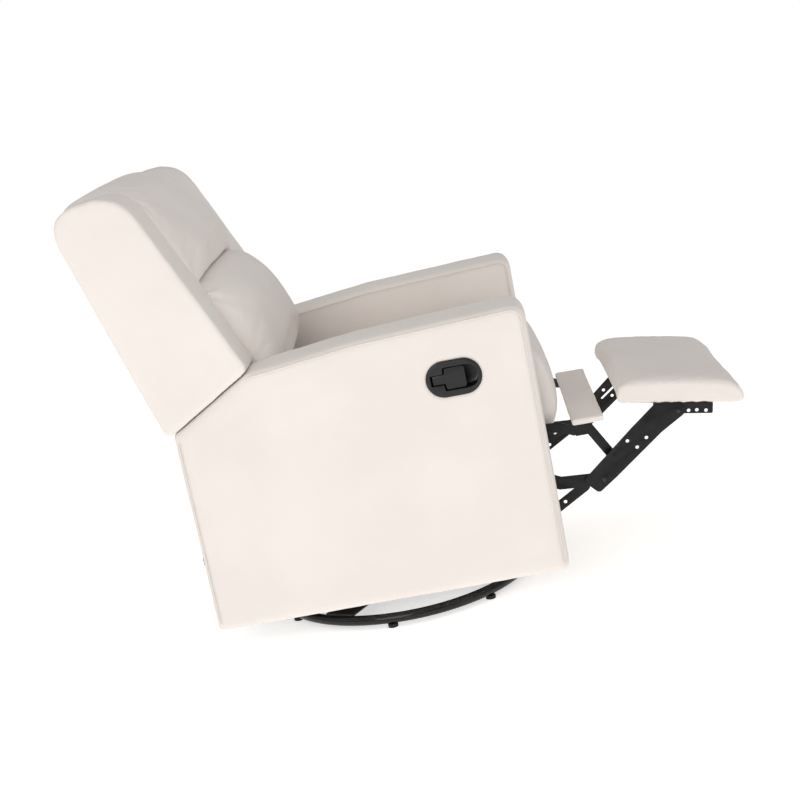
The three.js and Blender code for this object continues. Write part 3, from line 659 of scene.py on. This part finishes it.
cream_cloth = cloth_material("cream_cloth", CREAM, CREAM_SHADE)
welt_cloth = cloth_material("welt_cloth", (0.8, 0.745, 0.7), (0.74, 0.685, 0.64), 0.0007, 0.5)
thread = cloth_material("sewing_thread", (0.82, 0.78, 0.73), (0.75, 0.7, 0.65), 0.0005, 0.6)
satin_steel = coated_steel("satin_black_steel", (0.0055, 0.005, 0.0055), 0.3, 0.42, 0.05, 0.3, 0.3)
gloss_steel = coated_steel("gloss_black_steel", (0.003, 0.003, 0.0035), 0.12, 0.2, 0.25, 0.06, 0.1)
black_plastic = moulded_plastic("black_plastic", (0.012, 0.012, 0.013), 0.32, 0.2)
paddle_plastic = moulded_plastic("paddle_plastic", (0.009, 0.009, 0.01), 0.24, 0.12)
foot_rubber = moulded_plastic("foot_rubber", (0.014, 0.014, 0.014), 0.75, 0.5)
rivet_steel = bare_metal("rivet_steel", (0.07, 0.07, 0.075), 0.34)
spring_wire = bare_metal("spring_wire", (0.42, 0.42, 0.44), 0.3)
plywood = plywood_material()


# ---- Cushion making ----
def pressed_cloth(obj):
    """A cloth modifier that is sewn where the group says and blown up from inside."""
    cloth = obj.modifiers.new("Cloth", "CLOTH")
    settings = cloth.settings
    settings.quality = 5
    settings.mass = 0.25
    settings.tension_stiffness = CLOTH_STIFFNESS
    settings.compression_stiffness = CLOTH_STIFFNESS
    settings.shear_stiffness = CLOTH_STIFFNESS / 2
    settings.bending_stiffness = 0.3
    settings.shrink_min = -0.02
    settings.vertex_group_mass = "sewn"
    settings.use_pressure = True
    settings.uniform_pressure_force = CUSHION_PRESSURE
    settings.effector_weights.gravity = 0
    cloth.point_cache.frame_start = 1
    cloth.point_cache.frame_end = CLOTH_FRAMES


def inflate(obj, cap):
    """Blows a sewn cover up like foam under cloth, with no point moving further than cap."""
    before = coordinates(obj)
    scene = bpy.context.scene
    scene.frame_start, scene.frame_end = 1, CLOTH_FRAMES
    pressed_cloth(obj)
    for step in range(1, CLOTH_FRAMES + 1):
        scene.frame_set(step)
    apply_modifiers(obj)
    scene.frame_set(1)
    moved = coordinates(obj) - before
    length = np.maximum(np.linalg.norm(moved, axis=1), 1e-9)
    share = cap * np.tanh(length / cap) / length
    place_vertices(obj, before + moved * share[:, None])


def unevenness(points, size, offset):
    """Smooth noise between -1 and 1 at each point, with lumps of about that size."""
    return np.array([noise.noise(Vector(p) / size + Vector(offset)) for p in points])


def crumple(obj, depth, size, seed):
    """Slow unevenness, as cloth over foam has."""
    points, normals = coordinates(obj), vertex_normals(obj)
    lift = unevenness(points, size, (seed, seed * 1.7, seed * 0.6))
    place_vertices(obj, points + normals * (lift * depth)[:, None])


def subdivide(obj):
    modifier = obj.modifiers.new("Subdivision", "SUBSURF")
    modifier.levels = modifier.render_levels = 1
    apply_modifiers(obj)


# ---- Upholstered panels: arms and back sides ----
def padded_panel(name, node, side, outline, edge, bulge, crown, seed, pocket=None):
    """A flat-sided upholstered solid with a seam round each side and a crowned band between."""
    low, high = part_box(node)
    y0, y1 = low.y + PANEL_INSET, high.y - PANEL_INSET
    obj = outline_solid(name, outline, y0, y1)
    bevel_rims(obj, edge)
    if pocket:
        subtract(obj, pocket)
    remesh(obj, PANEL_VOXEL, 3)
    points, normals = coordinates(obj), vertex_normals(obj)
    inside = outline_distance(points[:, [0, 2]], outline)
    across = (points[:, 1] - (y0 + y1) / 2) / ((y1 - y0) / 2)
    side_share = normals[:, 1] ** 2
    dip = SEAM_DIP * np.exp(-((inside - SEAM_DIP_FROM_RIM) / SEAM_DIP_WIDTH) ** 2)
    face = bulge * (1 - np.exp(-inside / BULGE_RUN)) - dip
    band = crown * np.clip(1 - across ** 2, 0, 1) - 0.5 * MM
    near_seam = np.exp(-inside / PUCKER_REACH) * (np.abs(across) > 0.6)
    pucker = unevenness(points, 1 / 38, (seed + side, 0, 0)) * near_seam * PUCKER_DEPTH
    wave = unevenness(points, 1 / 5.5, (0, seed + side, 0)) * WAVE_DEPTH
    lift = side_share * face + (1 - side_share) * band + pucker + wave
    place_vertices(obj, points + normals * lift[:, None])
    smooth(obj, 60)
    return obj


def kept_runs(points, keep):
    """The stretches of a closed line of points that keep() accepts."""
    flags = [keep(p) for p in points]
    if all(flags):
        return [points + points[:1]]
    start = next(i for i in range(len(points)) if flags[i] and not flags[i - 1])
    runs, run = [], []
    for k in range(len(points)):
        i = (start + k) % len(points)
        if flags[i]:
            run.append(points[i])
        elif run:
            runs.append(run)
            run = []
    return runs + ([run] if run else [])


def side_seam(name, outline, y, side, body, keep):
    """A sewn welt just inside a side panel's rim, and the row of stitches beside it."""
    def runs(distance, lift, spacing):
        places = evenly([Vector((p.x, 0, p.y)) for p in inset(outline, distance)], spacing, True)
        lifted = [Vector((p.x, y + side * lift, p.z)) for p in places]
        return [run for run in kept_runs(lifted, keep) if len(run) > 3]

    welts = [tube(f"{name}_welt", run, WELT_RADIUS, 3)
             for run in runs(SEAM_INSET, -WELT_SUNK, 5 * MM)]
    welt = join_all(welts, f"{name}_welt")
    finish_piece(welt, body, welt_cloth, "fabric")
    rows = [stitches(f"{name}_stitches", run, (0, side, 0))
            for run in runs(SEAM_INSET + STITCHES_FROM_WELT, STITCH_LIFT, 4 * MM)]
    sewn = join_all(rows, f"{name}_stitches")
    finish_piece(sewn, body, thread, "fabric")


def arm_outline(low, high):
    """The side view of an arm: level below, hollowed a little on top, cut off along the seam."""
    top = low.z + ARM_FRONT_RISE
    seam_front = low.x + (ARM_FRONT_RISE - ARM_REAR_DROP - ARM_REAR_RISE) / SEAM_SLOPE
    middle = low.x + 0.53 * (high.x - low.x)
    return rounded([
        (low.x, low.z, 8 * MM), (high.x, low.z, 12 * MM), (high.x, top, 30 * MM),
        (middle, top - ARM_MIDDLE_DROP, 50 * MM), (seam_front, top - ARM_REAR_DROP, 12 * MM),
        (low.x, low.z + ARM_REAR_RISE, 6 * MM),
    ])


def under_back(point, low):
    """Whether a point lies on the part of an arm's rim that the back's side panel covers."""
    seam = low.z + ARM_REAR_RISE + SEAM_SLOPE * (point.x - low.x)
    return point.x < low.x + BACK_COVERS and point.z > seam - 14 * MM


def handle_pocket(y_out):
    """The solid that cuts the release handle's hole into the arm."""
    low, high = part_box("handle_bezel")
    middle = (low + high) / 2
    hole = stadium((middle.x, middle.z), *HANDLE_HOLE)
    return outline_solid("pocket", hole, y_out - 20 * MM, y_out + 50 * MM)


def make_arms():
    for label, side in SIDES:
        node = f"arm_cover_{label}"
        low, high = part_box(node)
        y_in, y_out = (low.y, high.y) if side > 0 else (high.y, low.y)
        outline = arm_outline(low, high)
        cover = padded_panel(
            f"arm_{label}", node, side, outline, ARM_EDGE, ARM_BULGE, ARM_CROWN, 3.1,
            handle_pocket(y_out) if label == "right" else None,
        )
        finish_piece(cover, "carriage", cream_cloth, "fabric", node)
        from_below = low.z + SEAM_FROM_BELOW
        side_seam(f"arm_{label}_outer", outline, y_out, side, "carriage",
                  lambda p: p.z > from_below and not under_back(p, low))
        side_seam(f"arm_{label}_inner", outline, y_in + side * 0.6 * MM, -side, "carriage",
                  lambda p: p.x > low.x + 0.2 and p.z > from_below)


def outline_of_node(node):
    """The side-view outline of a CAD solid, round its outermost points."""
    obj = frame["nodes"][node]
    points = {(round(v.co.x, 5), round(v.co.z, 5)) for v in obj.data.vertices}
    hull = convex_hull(sorted(points))
    return [Vector(p) for p in hull]


def convex_hull(points):
    """The anticlockwise hull of sorted (x, z) points."""
    def half(sequence):
        chain = []
        for p in sequence:
            while len(chain) > 1:
                (ax, az), (bx, bz) = chain[-2], chain[-1]
                if (bx - ax) * (p[1] - az) - (bz - az) * (p[0] - ax) > 1e-9:
                    break
                chain.pop()
            chain.append(p)
        return chain[:-1]
    return half(points) + half(points[::-1])


def make_back_sides():
    for label, side in SIDES:
        node = f"back_side_panel_{label}"
        corners = [Vector((p.x, p.y, 0)) for p in outline_of_node(node)]
        outline = [Vector((p.x, p.y)) for p in evenly(corners, 12 * MM, True)]
        panel = padded_panel(
            f"back_side_{label}", node, side, outline, WING_EDGE, WING_BULGE, WING_CROWN, 7.3,
        )
        finish_piece(panel, "back", cream_cloth, "fabric", node)


# ---- Pillows and cushions ----
def smooth_line(points, steps=5):
    """A curve through points that are given as rows of numbers."""
    rows = np.array(points, float)
    ends = np.vstack([2 * rows[0] - rows[1], rows, 2 * rows[-1] - rows[-2]])
    line = []
    for i in range(1, len(ends) - 2):
        p0, p1, p2, p3 = ends[i - 1:i + 3]
        for k in range(steps):
            t = k / steps
            line.append(0.5 * (2 * p1 + (p2 - p0) * t + (2 * p0 - 5 * p1 + 4 * p2 - p3) * t ** 2
                               + (3 * p1 - p0 - 3 * p2 + p3) * t ** 3))
    return line + [rows[-1]]


def cushion_form(name, visible, hidden, half, fullness, place):
    """A cushion whose side view changes from its middle, the crown, to its two sides.

    Each row of visible is (crown x, crown z, side x, side z); hidden closes the outline behind.
    """
    rows = [tuple(r) for r in smooth_line(visible)] + [(x, z, x, z) for x, z in hidden]
    rings = []
    stations = 36  # closer together near the sides, where the form turns quickly
    for k in range(stations + 1):
        t = math.sin((k / stations * 2 - 1) * math.pi / 2)
        share = (1 - min(abs(t), 1) ** fullness) ** (1 / fullness)
        ring = []
        for cx, cz, ex, ez in rows:
            x, z = place(ex + (cx - ex) * share, ez + (cz - ez) * share)
            ring.append((x, t * half, z))
        rings.append(ring)
    return loft(name, rings)


def from_arms(x, z):
    """A place in millimetres from the rear lower corner of the arms."""
    low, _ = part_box("arm_cover_right")
    return low.x + x * MM, low.z + z * MM


def on_pad(u, n):
    """A place on the footrest pad: u along it from its pivot, n above it."""
    x, _, z = joints["footrest_tilt"]["pos_m"]
    return (x + (u * math.cos(PAD_TILT) + n * math.sin(PAD_TILT)) * MM,
            z + (n * math.cos(PAD_TILT) - u * math.sin(PAD_TILT)) * MM)


def sewn_share(points, half, seam_width):
    """One at the side seams, falling to nothing a little way in from them."""
    return np.clip((np.abs(points[:, 1]) - half + seam_width) / seam_width, 0, 1)


def gathers(obj, centre, reach, depth, count, seed):
    """Small folds that fan out from a point."""
    points, normals = coordinates(obj), vertex_normals(obj)
    away = points - np.array(centre)
    distance = np.linalg.norm(away, axis=1)
    angle = np.arctan2(-away[:, 2], -np.sign(centre[1]) * away[:, 1] + away[:, 0] * 0.5)
    wave = np.sin(angle * count + seed + 1.2 * np.sin(distance / reach * 2 + seed))
    fade = np.exp(-(distance / reach) ** 2) * np.clip(distance / (0.2 * reach), 0, 1)
    place_vertices(obj, points + normals * (wave * fade * depth)[:, None])


def stuffed(obj, node, body, half, voxel, cap, seed, seams=12 * MM):
    """Sews a cushion form at its sides, blows it up and lets the cover settle."""
    remesh(obj, voxel, 4)
    pinned = obj.vertex_groups.new(name="sewn")
    for index, weight in enumerate(sewn_share(coordinates(obj), half, seams)):
        pinned.add([index], float(weight), "REPLACE")
    inflate(obj, cap)
    crumple(obj, 1.6 * MM, 0.1, seed)
    relax(obj, 2)
    subdivide(obj)
    smooth(obj, 180)
    finish_piece(obj, body, cream_cloth, "fabric", node)


# Rows of (crown x, crown z, side x, side z) in millimetres, from the arms' rear lower corner, and
# for the pad from its pivot. The two pillows' hidden rows are (x, z) places behind them.
HEAD_PILLOW = [
    (-152, 885, -151, 885), (-151, 890, -150, 888), (-138, 899, -138, 891), (-94, 914, -94, 903),
    (-50, 925, -48, 912), (-22, 918, -22, 907), (-4, 904, 2, 895), (14, 886, 22, 875),
    (34, 864, 35, 854), (52, 843, 46, 831), (69, 822, 56, 810), (84, 801, 64, 788),
    (97, 782, 71, 766), (109, 763, 78, 741), (119, 743, 84, 717), (126, 727, 85, 699),
    (122, 718, 78, 689), (102, 712, 60, 689),
]
HEAD_PILLOW_BEHIND = [(-62, 716), (-88, 800), (-117, 883)]
LUMBAR_PILLOW = [
    (40, 703, 40, 684), (94, 706, 72, 682), (124, 709, 87, 677), (144, 702, 100, 667),
    (169, 677, 113, 655), (189, 654, 124, 640), (205, 625, 137, 619), (219, 588, 152, 590),
    (230, 556, 167, 554), (237, 524, 180, 520), (238, 495, 189, 490), (233, 475, 189, 473),
    (216, 465, 180, 465),
]
LUMBAR_PILLOW_BEHIND = [(8, 464), (-28, 585), (-62, 702)]
CREASE_END = (90, 684)  # where the crease between the pillows meets the side panels
TOP_TUCK = (-30, 915)
PAD = [
    (-119, 17.2, -118, 17.2), (-128, 24, -125, 22), (-129, 41, -126, 37), (-121, 55, -119, 49),
    (-100, 61.5, -101, 55), (-60, 65, -60, 57), (0, 66.5, 0, 58), (60, 65, 60, 57.5),
    (101, 61, 102, 54.5), (123, 52, 121, 47), (134, 40, 131, 37), (139, 26, 136, 25),
    (134, 17.2, 132, 17.2),
]
BOARD_POCKET = (-115.5, 125.5, 10, 23)  # rear, front, underside and top of the pad's pocket


def make_pillows():
    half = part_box("back_side_panel_left")[0].y + PILLOW_LAP
    pillows = []
    for name, rows, behind, seed in (
        ("head_pillow", HEAD_PILLOW, HEAD_PILLOW_BEHIND, 1.3),
        ("lumbar_pillow", LUMBAR_PILLOW, LUMBAR_PILLOW_BEHIND, 4.1),
    ):
        cover = cushion_form(f"{name}_cover", rows, behind, half, PILLOW_FULLNESS, from_arms)
        stuffed(cover, name, "back", half, PILLOW_VOXEL, PILLOW_SWELL, seed)
        pillows.append(cover)
    head, lumbar = pillows
    for side in (-1, 1):
        for cover, at, reach, depth, count, seed in (
            (lumbar, CREASE_END, 80 * MM, 3.4 * MM, 9, 0.4),
            (head, CREASE_END, 65 * MM, 2.2 * MM, 8, 1.9),
            (head, TOP_TUCK, 45 * MM, 1.8 * MM, 7, 2.3),
        ):
            x, z = from_arms(*at)
            gathers(cover, (x, side * half, z), reach, depth, count, seed + side)


def make_seat():
    """The seat cushion with its front roll, between the arms."""
    _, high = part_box("seat_cushion")
    obj = copy_of_node("seat_cushion", "seat_cushion_cover")
    remesh(obj, 7 * MM, 5)
    place_vertices(obj, coordinates(obj) - vertex_normals(obj) * SEAT_SHRINK)
    stuffed(obj, "seat_cushion", "seat", high.y - SEAT_SHRINK, 7.5 * MM, 16 * MM, 8.2, 8 * MM)
    points, normals = coordinates(obj), vertex_normals(obj)
    from_seam = (points[:, 0] - high.x + SEAT_FRONT_ROLL) / (3.5 * MM)
    groove = np.exp(-from_seam ** 2) * np.clip(normals[:, 2], 0, 1)
    place_vertices(obj, points - normals * (groove * 2.6 * MM)[:, None])


def make_pad():
    """The footrest pad, whose cover is pulled round the edge of its board."""
    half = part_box("footrest_pad")[1].y + PAD_LAP
    obj = cushion_form("footrest_pad_cover", PAD, [], half, 9, on_pad)
    stuffed(obj, "footrest_pad", "footrest_board", half, 4.5 * MM, 5 * MM, 2.7, 6 * MM)
    rear, front, low, high = BOARD_POCKET
    corners = (rear, low), (front, low), (front, high), (rear, high)
    outline = [Vector(on_pad(u, n)) for u, n in corners]
    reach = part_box("pad_board")[1].y + 1 * MM
    subtract(obj, outline_solid("board_pocket", outline, -reach, reach))
    smooth(obj, 60)


def make_flap():
    """The small padded flap between the seat and the footrest pad."""
    obj = copy_of_node("footrest_flap", "footrest_flap_cover")
    remesh(obj, 2.5 * MM, 3)
    crumple(obj, 0.8 * MM, 0.05, 5.5)
    smooth(obj, 60)
    finish_piece(obj, "upper_links", cream_cloth, "fabric", "footrest_flap")


def make_back_panels():
    """The outside back and the lower rear panel."""
    for name, node, body, bulge in (
        ("outside_back", "back_rear_cover", "back", 5 * MM),
        ("lower_rear_panel", "rear_panel", "carriage", 3 * MM),
    ):
        obj = copy_of_node(node, name)
        remesh(obj, 5 * MM, 2)
        points = coordinates(obj)
        low, high = points.min(0), points.max(0)
        _, across, along = ((2 * points - low - high) / (high - low)).T
        rearward = np.clip(-vertex_normals(obj)[:, 0], 0, 1)
        points[:, 0] -= bulge * (1 - across ** 4) * (1 - along ** 4) * rearward
        place_vertices(obj, points)
        crumple(obj, 1.0 * MM, 0.12, 9.4)
        smooth(obj, 60)
        finish_piece(obj, body, cream_cloth, "fabric", node)


# ---- Steel ----
STEEL_NODES = [
    node for node in frame["nodes"] if any(word in node for word in (
        "base_cross", "turning_plate", "hanger", "glider_link", "glider_rail", "seat_track",
        "back_pivot", "back_bracket", "mechanism_plate", "lower_link", "upper_link", "long_link",
        "pad_bracket",
    ))
]


def make_steel():
    """Each pressed steel part, with its cut edges rounded."""
    for node in STEEL_NODES:
        obj = copy_of_node(node, f"{node}_steel")
        bevel_edges(obj, 0.5 * MM, 2, 35)
        smooth(obj, 35)
        body = frame["nodes"][node]["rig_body"]
        finish_piece(obj, body, satin_steel, "black_steel", node)


def outer_face(node, side):
    low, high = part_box(node)
    return high.y if side > 0 else low.y


def make_rivets():
    """Dark rivet heads on the linkage's pivots."""
    for label, side in SIDES:
        for joint, node, body in (
            ("footrest_knee", "long_link", "long_links"),
            ("footrest_tilt", "long_link", "long_links"),
            ("footrest_fold", "mechanism_plate", "seat"),
            ("footrest_upper", "mechanism_plate", "seat"),
        ):
            x, _, z = joints[joint]["pos_m"]
            y = outer_face(f"{node}_{label}", side) + side * 0.5 * MM
            head = cylinder(f"{joint}_rivet_{label}", RIVET_RADIUS, RIVET_HEIGHT, (x, y, z), 24,
                            rotation=(math.pi / 2, 0, 0))
            bevel_edges(head, 0.7 * MM, 3, 30)
            smooth(head, 50)
            finish_piece(head, body, rivet_steel, "black_steel")


# ---- Base ----
def make_ring():
    """The ring that the chair stands on."""
    low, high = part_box("ring_tube")
    tube_radius = (high.z - low.z) / 2
    bpy.ops.mesh.primitive_torus_add(
        major_segments=192, minor_segments=28, major_radius=(high.x - low.x) / 2 - tube_radius,
        minor_radius=tube_radius, location=(low + high) / 2,
    )
    ring = bpy.context.object
    ring.name = "base_ring"
    settle(ring)
    smooth(ring, 80)
    finish_piece(ring, "base", gloss_steel, "ring_paint", "ring_tube")


def make_foot(i):
    """A rubber glide under the ring, with its two flat faces set in and its edges rounded."""
    low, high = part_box(f"floor_glide_{i}")
    foot = cylinder(f"rubber_foot_{i}", (high.x - low.x) / 2, high.z - low.z, (low + high) / 2, 32)
    edit_where(foot, "FACE", lambda face: abs(face.normal.z) > 0.9)
    bpy.ops.mesh.inset(thickness=2.5 * MM)
    bpy.ops.object.mode_set(mode="OBJECT")
    bevel_edges(foot, 1.0 * MM, 3, 50)
    smooth(foot, 50)
    finish_piece(foot, "base", foot_rubber, "rubber", f"floor_glide_{i}")


def make_base():
    make_ring()
    for i in range(1, 9):
        make_foot(i)
    bearing = copy_of_node("swivel_bearing", "swivel_bearing_race")
    bevel_edges(bearing, 0.8 * MM, 2, 25)
    smooth(bearing, 35)
    finish_piece(bearing, "base", satin_steel, "black_steel", "swivel_bearing")


# ---- Release handle ----
def loft(name, rings):
    """Bridges closed rings of points, one after the other, and closes both ends."""
    parts = []
    for ring in rings:
        bpy.ops.mesh.primitive_circle_add(vertices=len(ring), radius=1, fill_type="NOTHING")
        part = bpy.context.object
        for vertex, place in zip(part.data.vertices, ring):
            vertex.co = place
        parts.append(part)
    size = len(rings[0])
    obj = join_all(parts, name)
    mesh = bmesh.new()
    mesh.from_mesh(obj.data)
    mesh.verts.ensure_lookup_table()
    for i in range(len(rings) - 1):
        for k in range(size):
            following = (k + 1) % size
            a, b = i * size + k, i * size + following
            mesh.faces.new([mesh.verts[j] for j in (a, b, b + size, a + size)])
    mesh.faces.new([mesh.verts[k] for k in range(size)])
    mesh.faces.new([mesh.verts[(len(rings) - 1) * size + k] for k in range(size)])
    bmesh.ops.recalc_face_normals(mesh, faces=mesh.faces)
    mesh.to_mesh(obj.data)
    mesh.free()
    return obj


def handle_outline(corners, steps):
    """A rounded outline from (x, z, radius) corners in millimetres.

    They are measured from the rear end of the recess, at its middle height.
    """
    low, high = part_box("handle_bezel")
    middle_z = (low.z + high.z) / 2
    return rounded([(low.x + x * MM, middle_z + z * MM, r * MM) for x, z, r in corners], steps)


def make_recess():
    """The oval recess in the arm: a lip that turns over the cloth, and a T-shaped opening."""
    low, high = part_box("handle_bezel")
    cloth_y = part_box("arm_cover_right")[0].y - 0.3 * MM
    centre = ((low.x + high.x) / 2, (low.z + high.z) / 2)

    def ring(inset_by, y):
        outline = stadium(centre, high.x - low.x - 2 * inset_by, high.z - low.z - 2 * inset_by)
        return [(p.x, y, p.y) for p in outline]

    lip, rim_y = 6 * MM, low.y
    recess = loft("handle_recess", [
        ring(lip, high.y), ring(lip, cloth_y), ring(0, cloth_y), ring(0, rim_y + 3 * MM),
        ring(0.6 * MM, rim_y + 1.5 * MM), ring(2.2 * MM, rim_y + 0.4 * MM), ring(4.5 * MM, rim_y),
    ])
    opening = handle_outline([
        (9.5, -11, 2), (34.5, -11, 0), (36.5, -24, 4), (104, -24, 22),
        (104, 24, 22), (36.5, 24, 4), (34.5, 11, 0), (9.5, 11, 2),
    ], 8)
    subtract(recess, outline_solid("opening", opening, rim_y - 5 * MM, high.y - 3 * MM))
    bevel_edges(recess, 0.7 * MM, 2, 60)
    smooth(recess, 40)
    finish_piece(recess, "carriage", black_plastic, "black_plastic", "handle_bezel")


def make_paddle():
    """The paddle: a neck at its hinge, and a plate that is hollowed for the fingers."""
    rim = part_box("handle_bezel")[0]
    outline = handle_outline([
        (13.5, -9.5, 1.5), (37.5, -9.5, 0), (39.5, -22, 4), (80, -22, 7),
        (80, 22, 7), (39.5, 22, 4), (37.5, 9.5, 0), (13.5, 9.5, 1.5),
    ], 6)
    front_y = rim.y + PADDLE_BEHIND_RIM
    paddle = outline_solid("pull_paddle", outline, front_y, front_y + PADDLE_THICKNESS)
    bevel_rims(paddle, 1.2 * MM)
    points = coordinates(paddle)
    along_plate = np.clip((points[:, 0] - rim.x) / (40 * MM) - 1, 0, 1)
    points[:, 1] += 1.5 * MM * np.sin(along_plate * math.pi)
    place_vertices(paddle, points)
    smooth(paddle, 35)
    finish_piece(paddle, "paddle", paddle_plastic, "black_plastic", "release_paddle")


# ---- Springs and wood ----
def make_springs():
    """Sinuous springs: straight runs across with round bends between them."""
    steps = 10  # along each bend
    for i in range(1, 4):
        low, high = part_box(f"seat_spring_{i}")
        middle_y, z = (low.y + high.y) / 2, (low.z + high.z) / 2
        half = (high.y - low.y) / 2 - 2.5 * MM
        pitch = (high.x - low.x - 6 * MM) / SPRING_BENDS
        points = []
        for k in range(SPRING_BENDS * steps + 1):
            sideways = math.sin(k / steps * math.pi)
            squared = math.copysign(abs(sideways) ** 0.6, sideways)
            points.append((low.x + 3 * MM + pitch * k / steps, middle_y + half * squared, z))
        line = evenly(points, 4 * MM, False)
        spring = tube(f"sinuous_spring_{i}", line, SPRING_WIRE_RADIUS, 2)
        finish_piece(spring, "seat", spring_wire, "spring_steel", f"seat_spring_{i}")


def make_wood():
    """The plywood boards, with their sawn edges broken."""
    for node in ("arm_frame_right", "arm_frame_left", "front_stretcher", "rear_stretcher",
                 "back_frame", "seat_frame", "pad_board"):
        obj = copy_of_node(node, f"{node}_board")
        bevel_edges(obj, 0.8 * MM, 2, 35)
        smooth(obj, 35)
        finish_piece(obj, frame["nodes"][node]["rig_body"], plywood, "wood", node)


# ---- Room ----
FLOOR_GLOW = 0.56  # keeps the floor white to its far edge
SKY_LIGHT = 0.5  # on the chair; the camera sees the sky at full white
LIGHTS = (  # name, place, size, power, colour
    ("key", (-1.2, -4.2, 1.9), 2.6, 51, (1.0, 0.972, 0.945)),
    ("fill", (2.6, -2.6, 1.6), 2.4, 8, (1.0, 0.97, 0.96)),
    ("top", (-0.2, 0.6, 3.6), 2.4, 8, (0.96, 0.97, 1.0)),
)
LIGHTS_AIM = (0, 0, 0.5)
CAMERA_PLACE = (0.160, -3.387, 1.203)
CAMERA_YAW, CAMERA_PITCH, CAMERA_ROLL = (math.radians(a) for a in (-3.799, 13.034, -11.395))
CAMERA_LENS = 70


def make_floor():
    bpy.ops.mesh.primitive_plane_add(size=60, location=(0, 0, 0))
    floor = bpy.context.object
    floor.name = "pale_floor"
    material, _, shader = new_material("pale_floor", Roughness=0.9, Specular_IOR_Level=0.1)
    shader.inputs["Base Color"].default_value = (0.93, 0.93, 0.93, 1)
    shader.inputs["Emission Color"].default_value = (1, 1, 1, 1)
    shader.inputs["Emission Strength"].default_value = FLOOR_GLOW
    floor.data.materials.append(material)


def make_sky():
    world = bpy.data.worlds.new("soft_white")
    bpy.context.scene.world = world
    world.use_nodes = True
    sky = world.node_tree.nodes["Background"]
    sky.inputs["Color"].default_value = (1, 1, 1, 1)
    camera_ray = world.node_tree.nodes.new("ShaderNodeLightPath").outputs["Is Camera Ray"]
    strength = ranged(world.node_tree, camera_ray, 0, 1, SKY_LIGHT, 1.0)
    world.node_tree.links.new(strength, sky.inputs["Strength"])


def make_lights():
    for name, place, size, power, colour in LIGHTS:
        light = bpy.data.lights.new(name, "AREA")
        light.shape = "DISK"
        light.size = size
        light.energy = power
        light.color = colour
        lamp = new_object(name, light)
        aim = Vector(LIGHTS_AIM) - Vector(place)
        lamp.location = place
        lamp.rotation_euler = aim.to_track_quat("-Z", "Y").to_euler()


def make_camera():
    """A long lens from the chair's right, a little above the arms, rolled so the chair leans."""
    level = Vector((math.cos(CAMERA_YAW), -math.sin(CAMERA_YAW), 0))
    forward = Vector((math.sin(CAMERA_YAW), math.cos(CAMERA_YAW), 0))
    ahead = forward * math.cos(CAMERA_PITCH) - Vector((0, 0, math.sin(CAMERA_PITCH)))
    upright = level.cross(ahead)
    right = level * math.cos(CAMERA_ROLL) + upright * math.sin(CAMERA_ROLL)
    up = upright * math.cos(CAMERA_ROLL) - level * math.sin(CAMERA_ROLL)
    data = bpy.data.cameras.new("camera")
    data.lens = CAMERA_LENS
    data.sensor_width = 36
    camera = new_object("camera", data)
    turn = Matrix((right, up, -ahead)).transposed().to_4x4()
    camera.matrix_world = Matrix.Translation(CAMERA_PLACE) @ turn
    bpy.context.scene.camera = camera


make_camera()
make_floor()
make_sky()
make_lights()
make_arms()
make_back_sides()
make_pillows()
make_seat()
make_pad()
make_flap()
make_back_panels()
make_steel()
make_rivets()
make_base()
make_recess()
make_paddle()
make_springs()
make_wood()

bpy.context.scene.view_settings.view_transform = "Standard"
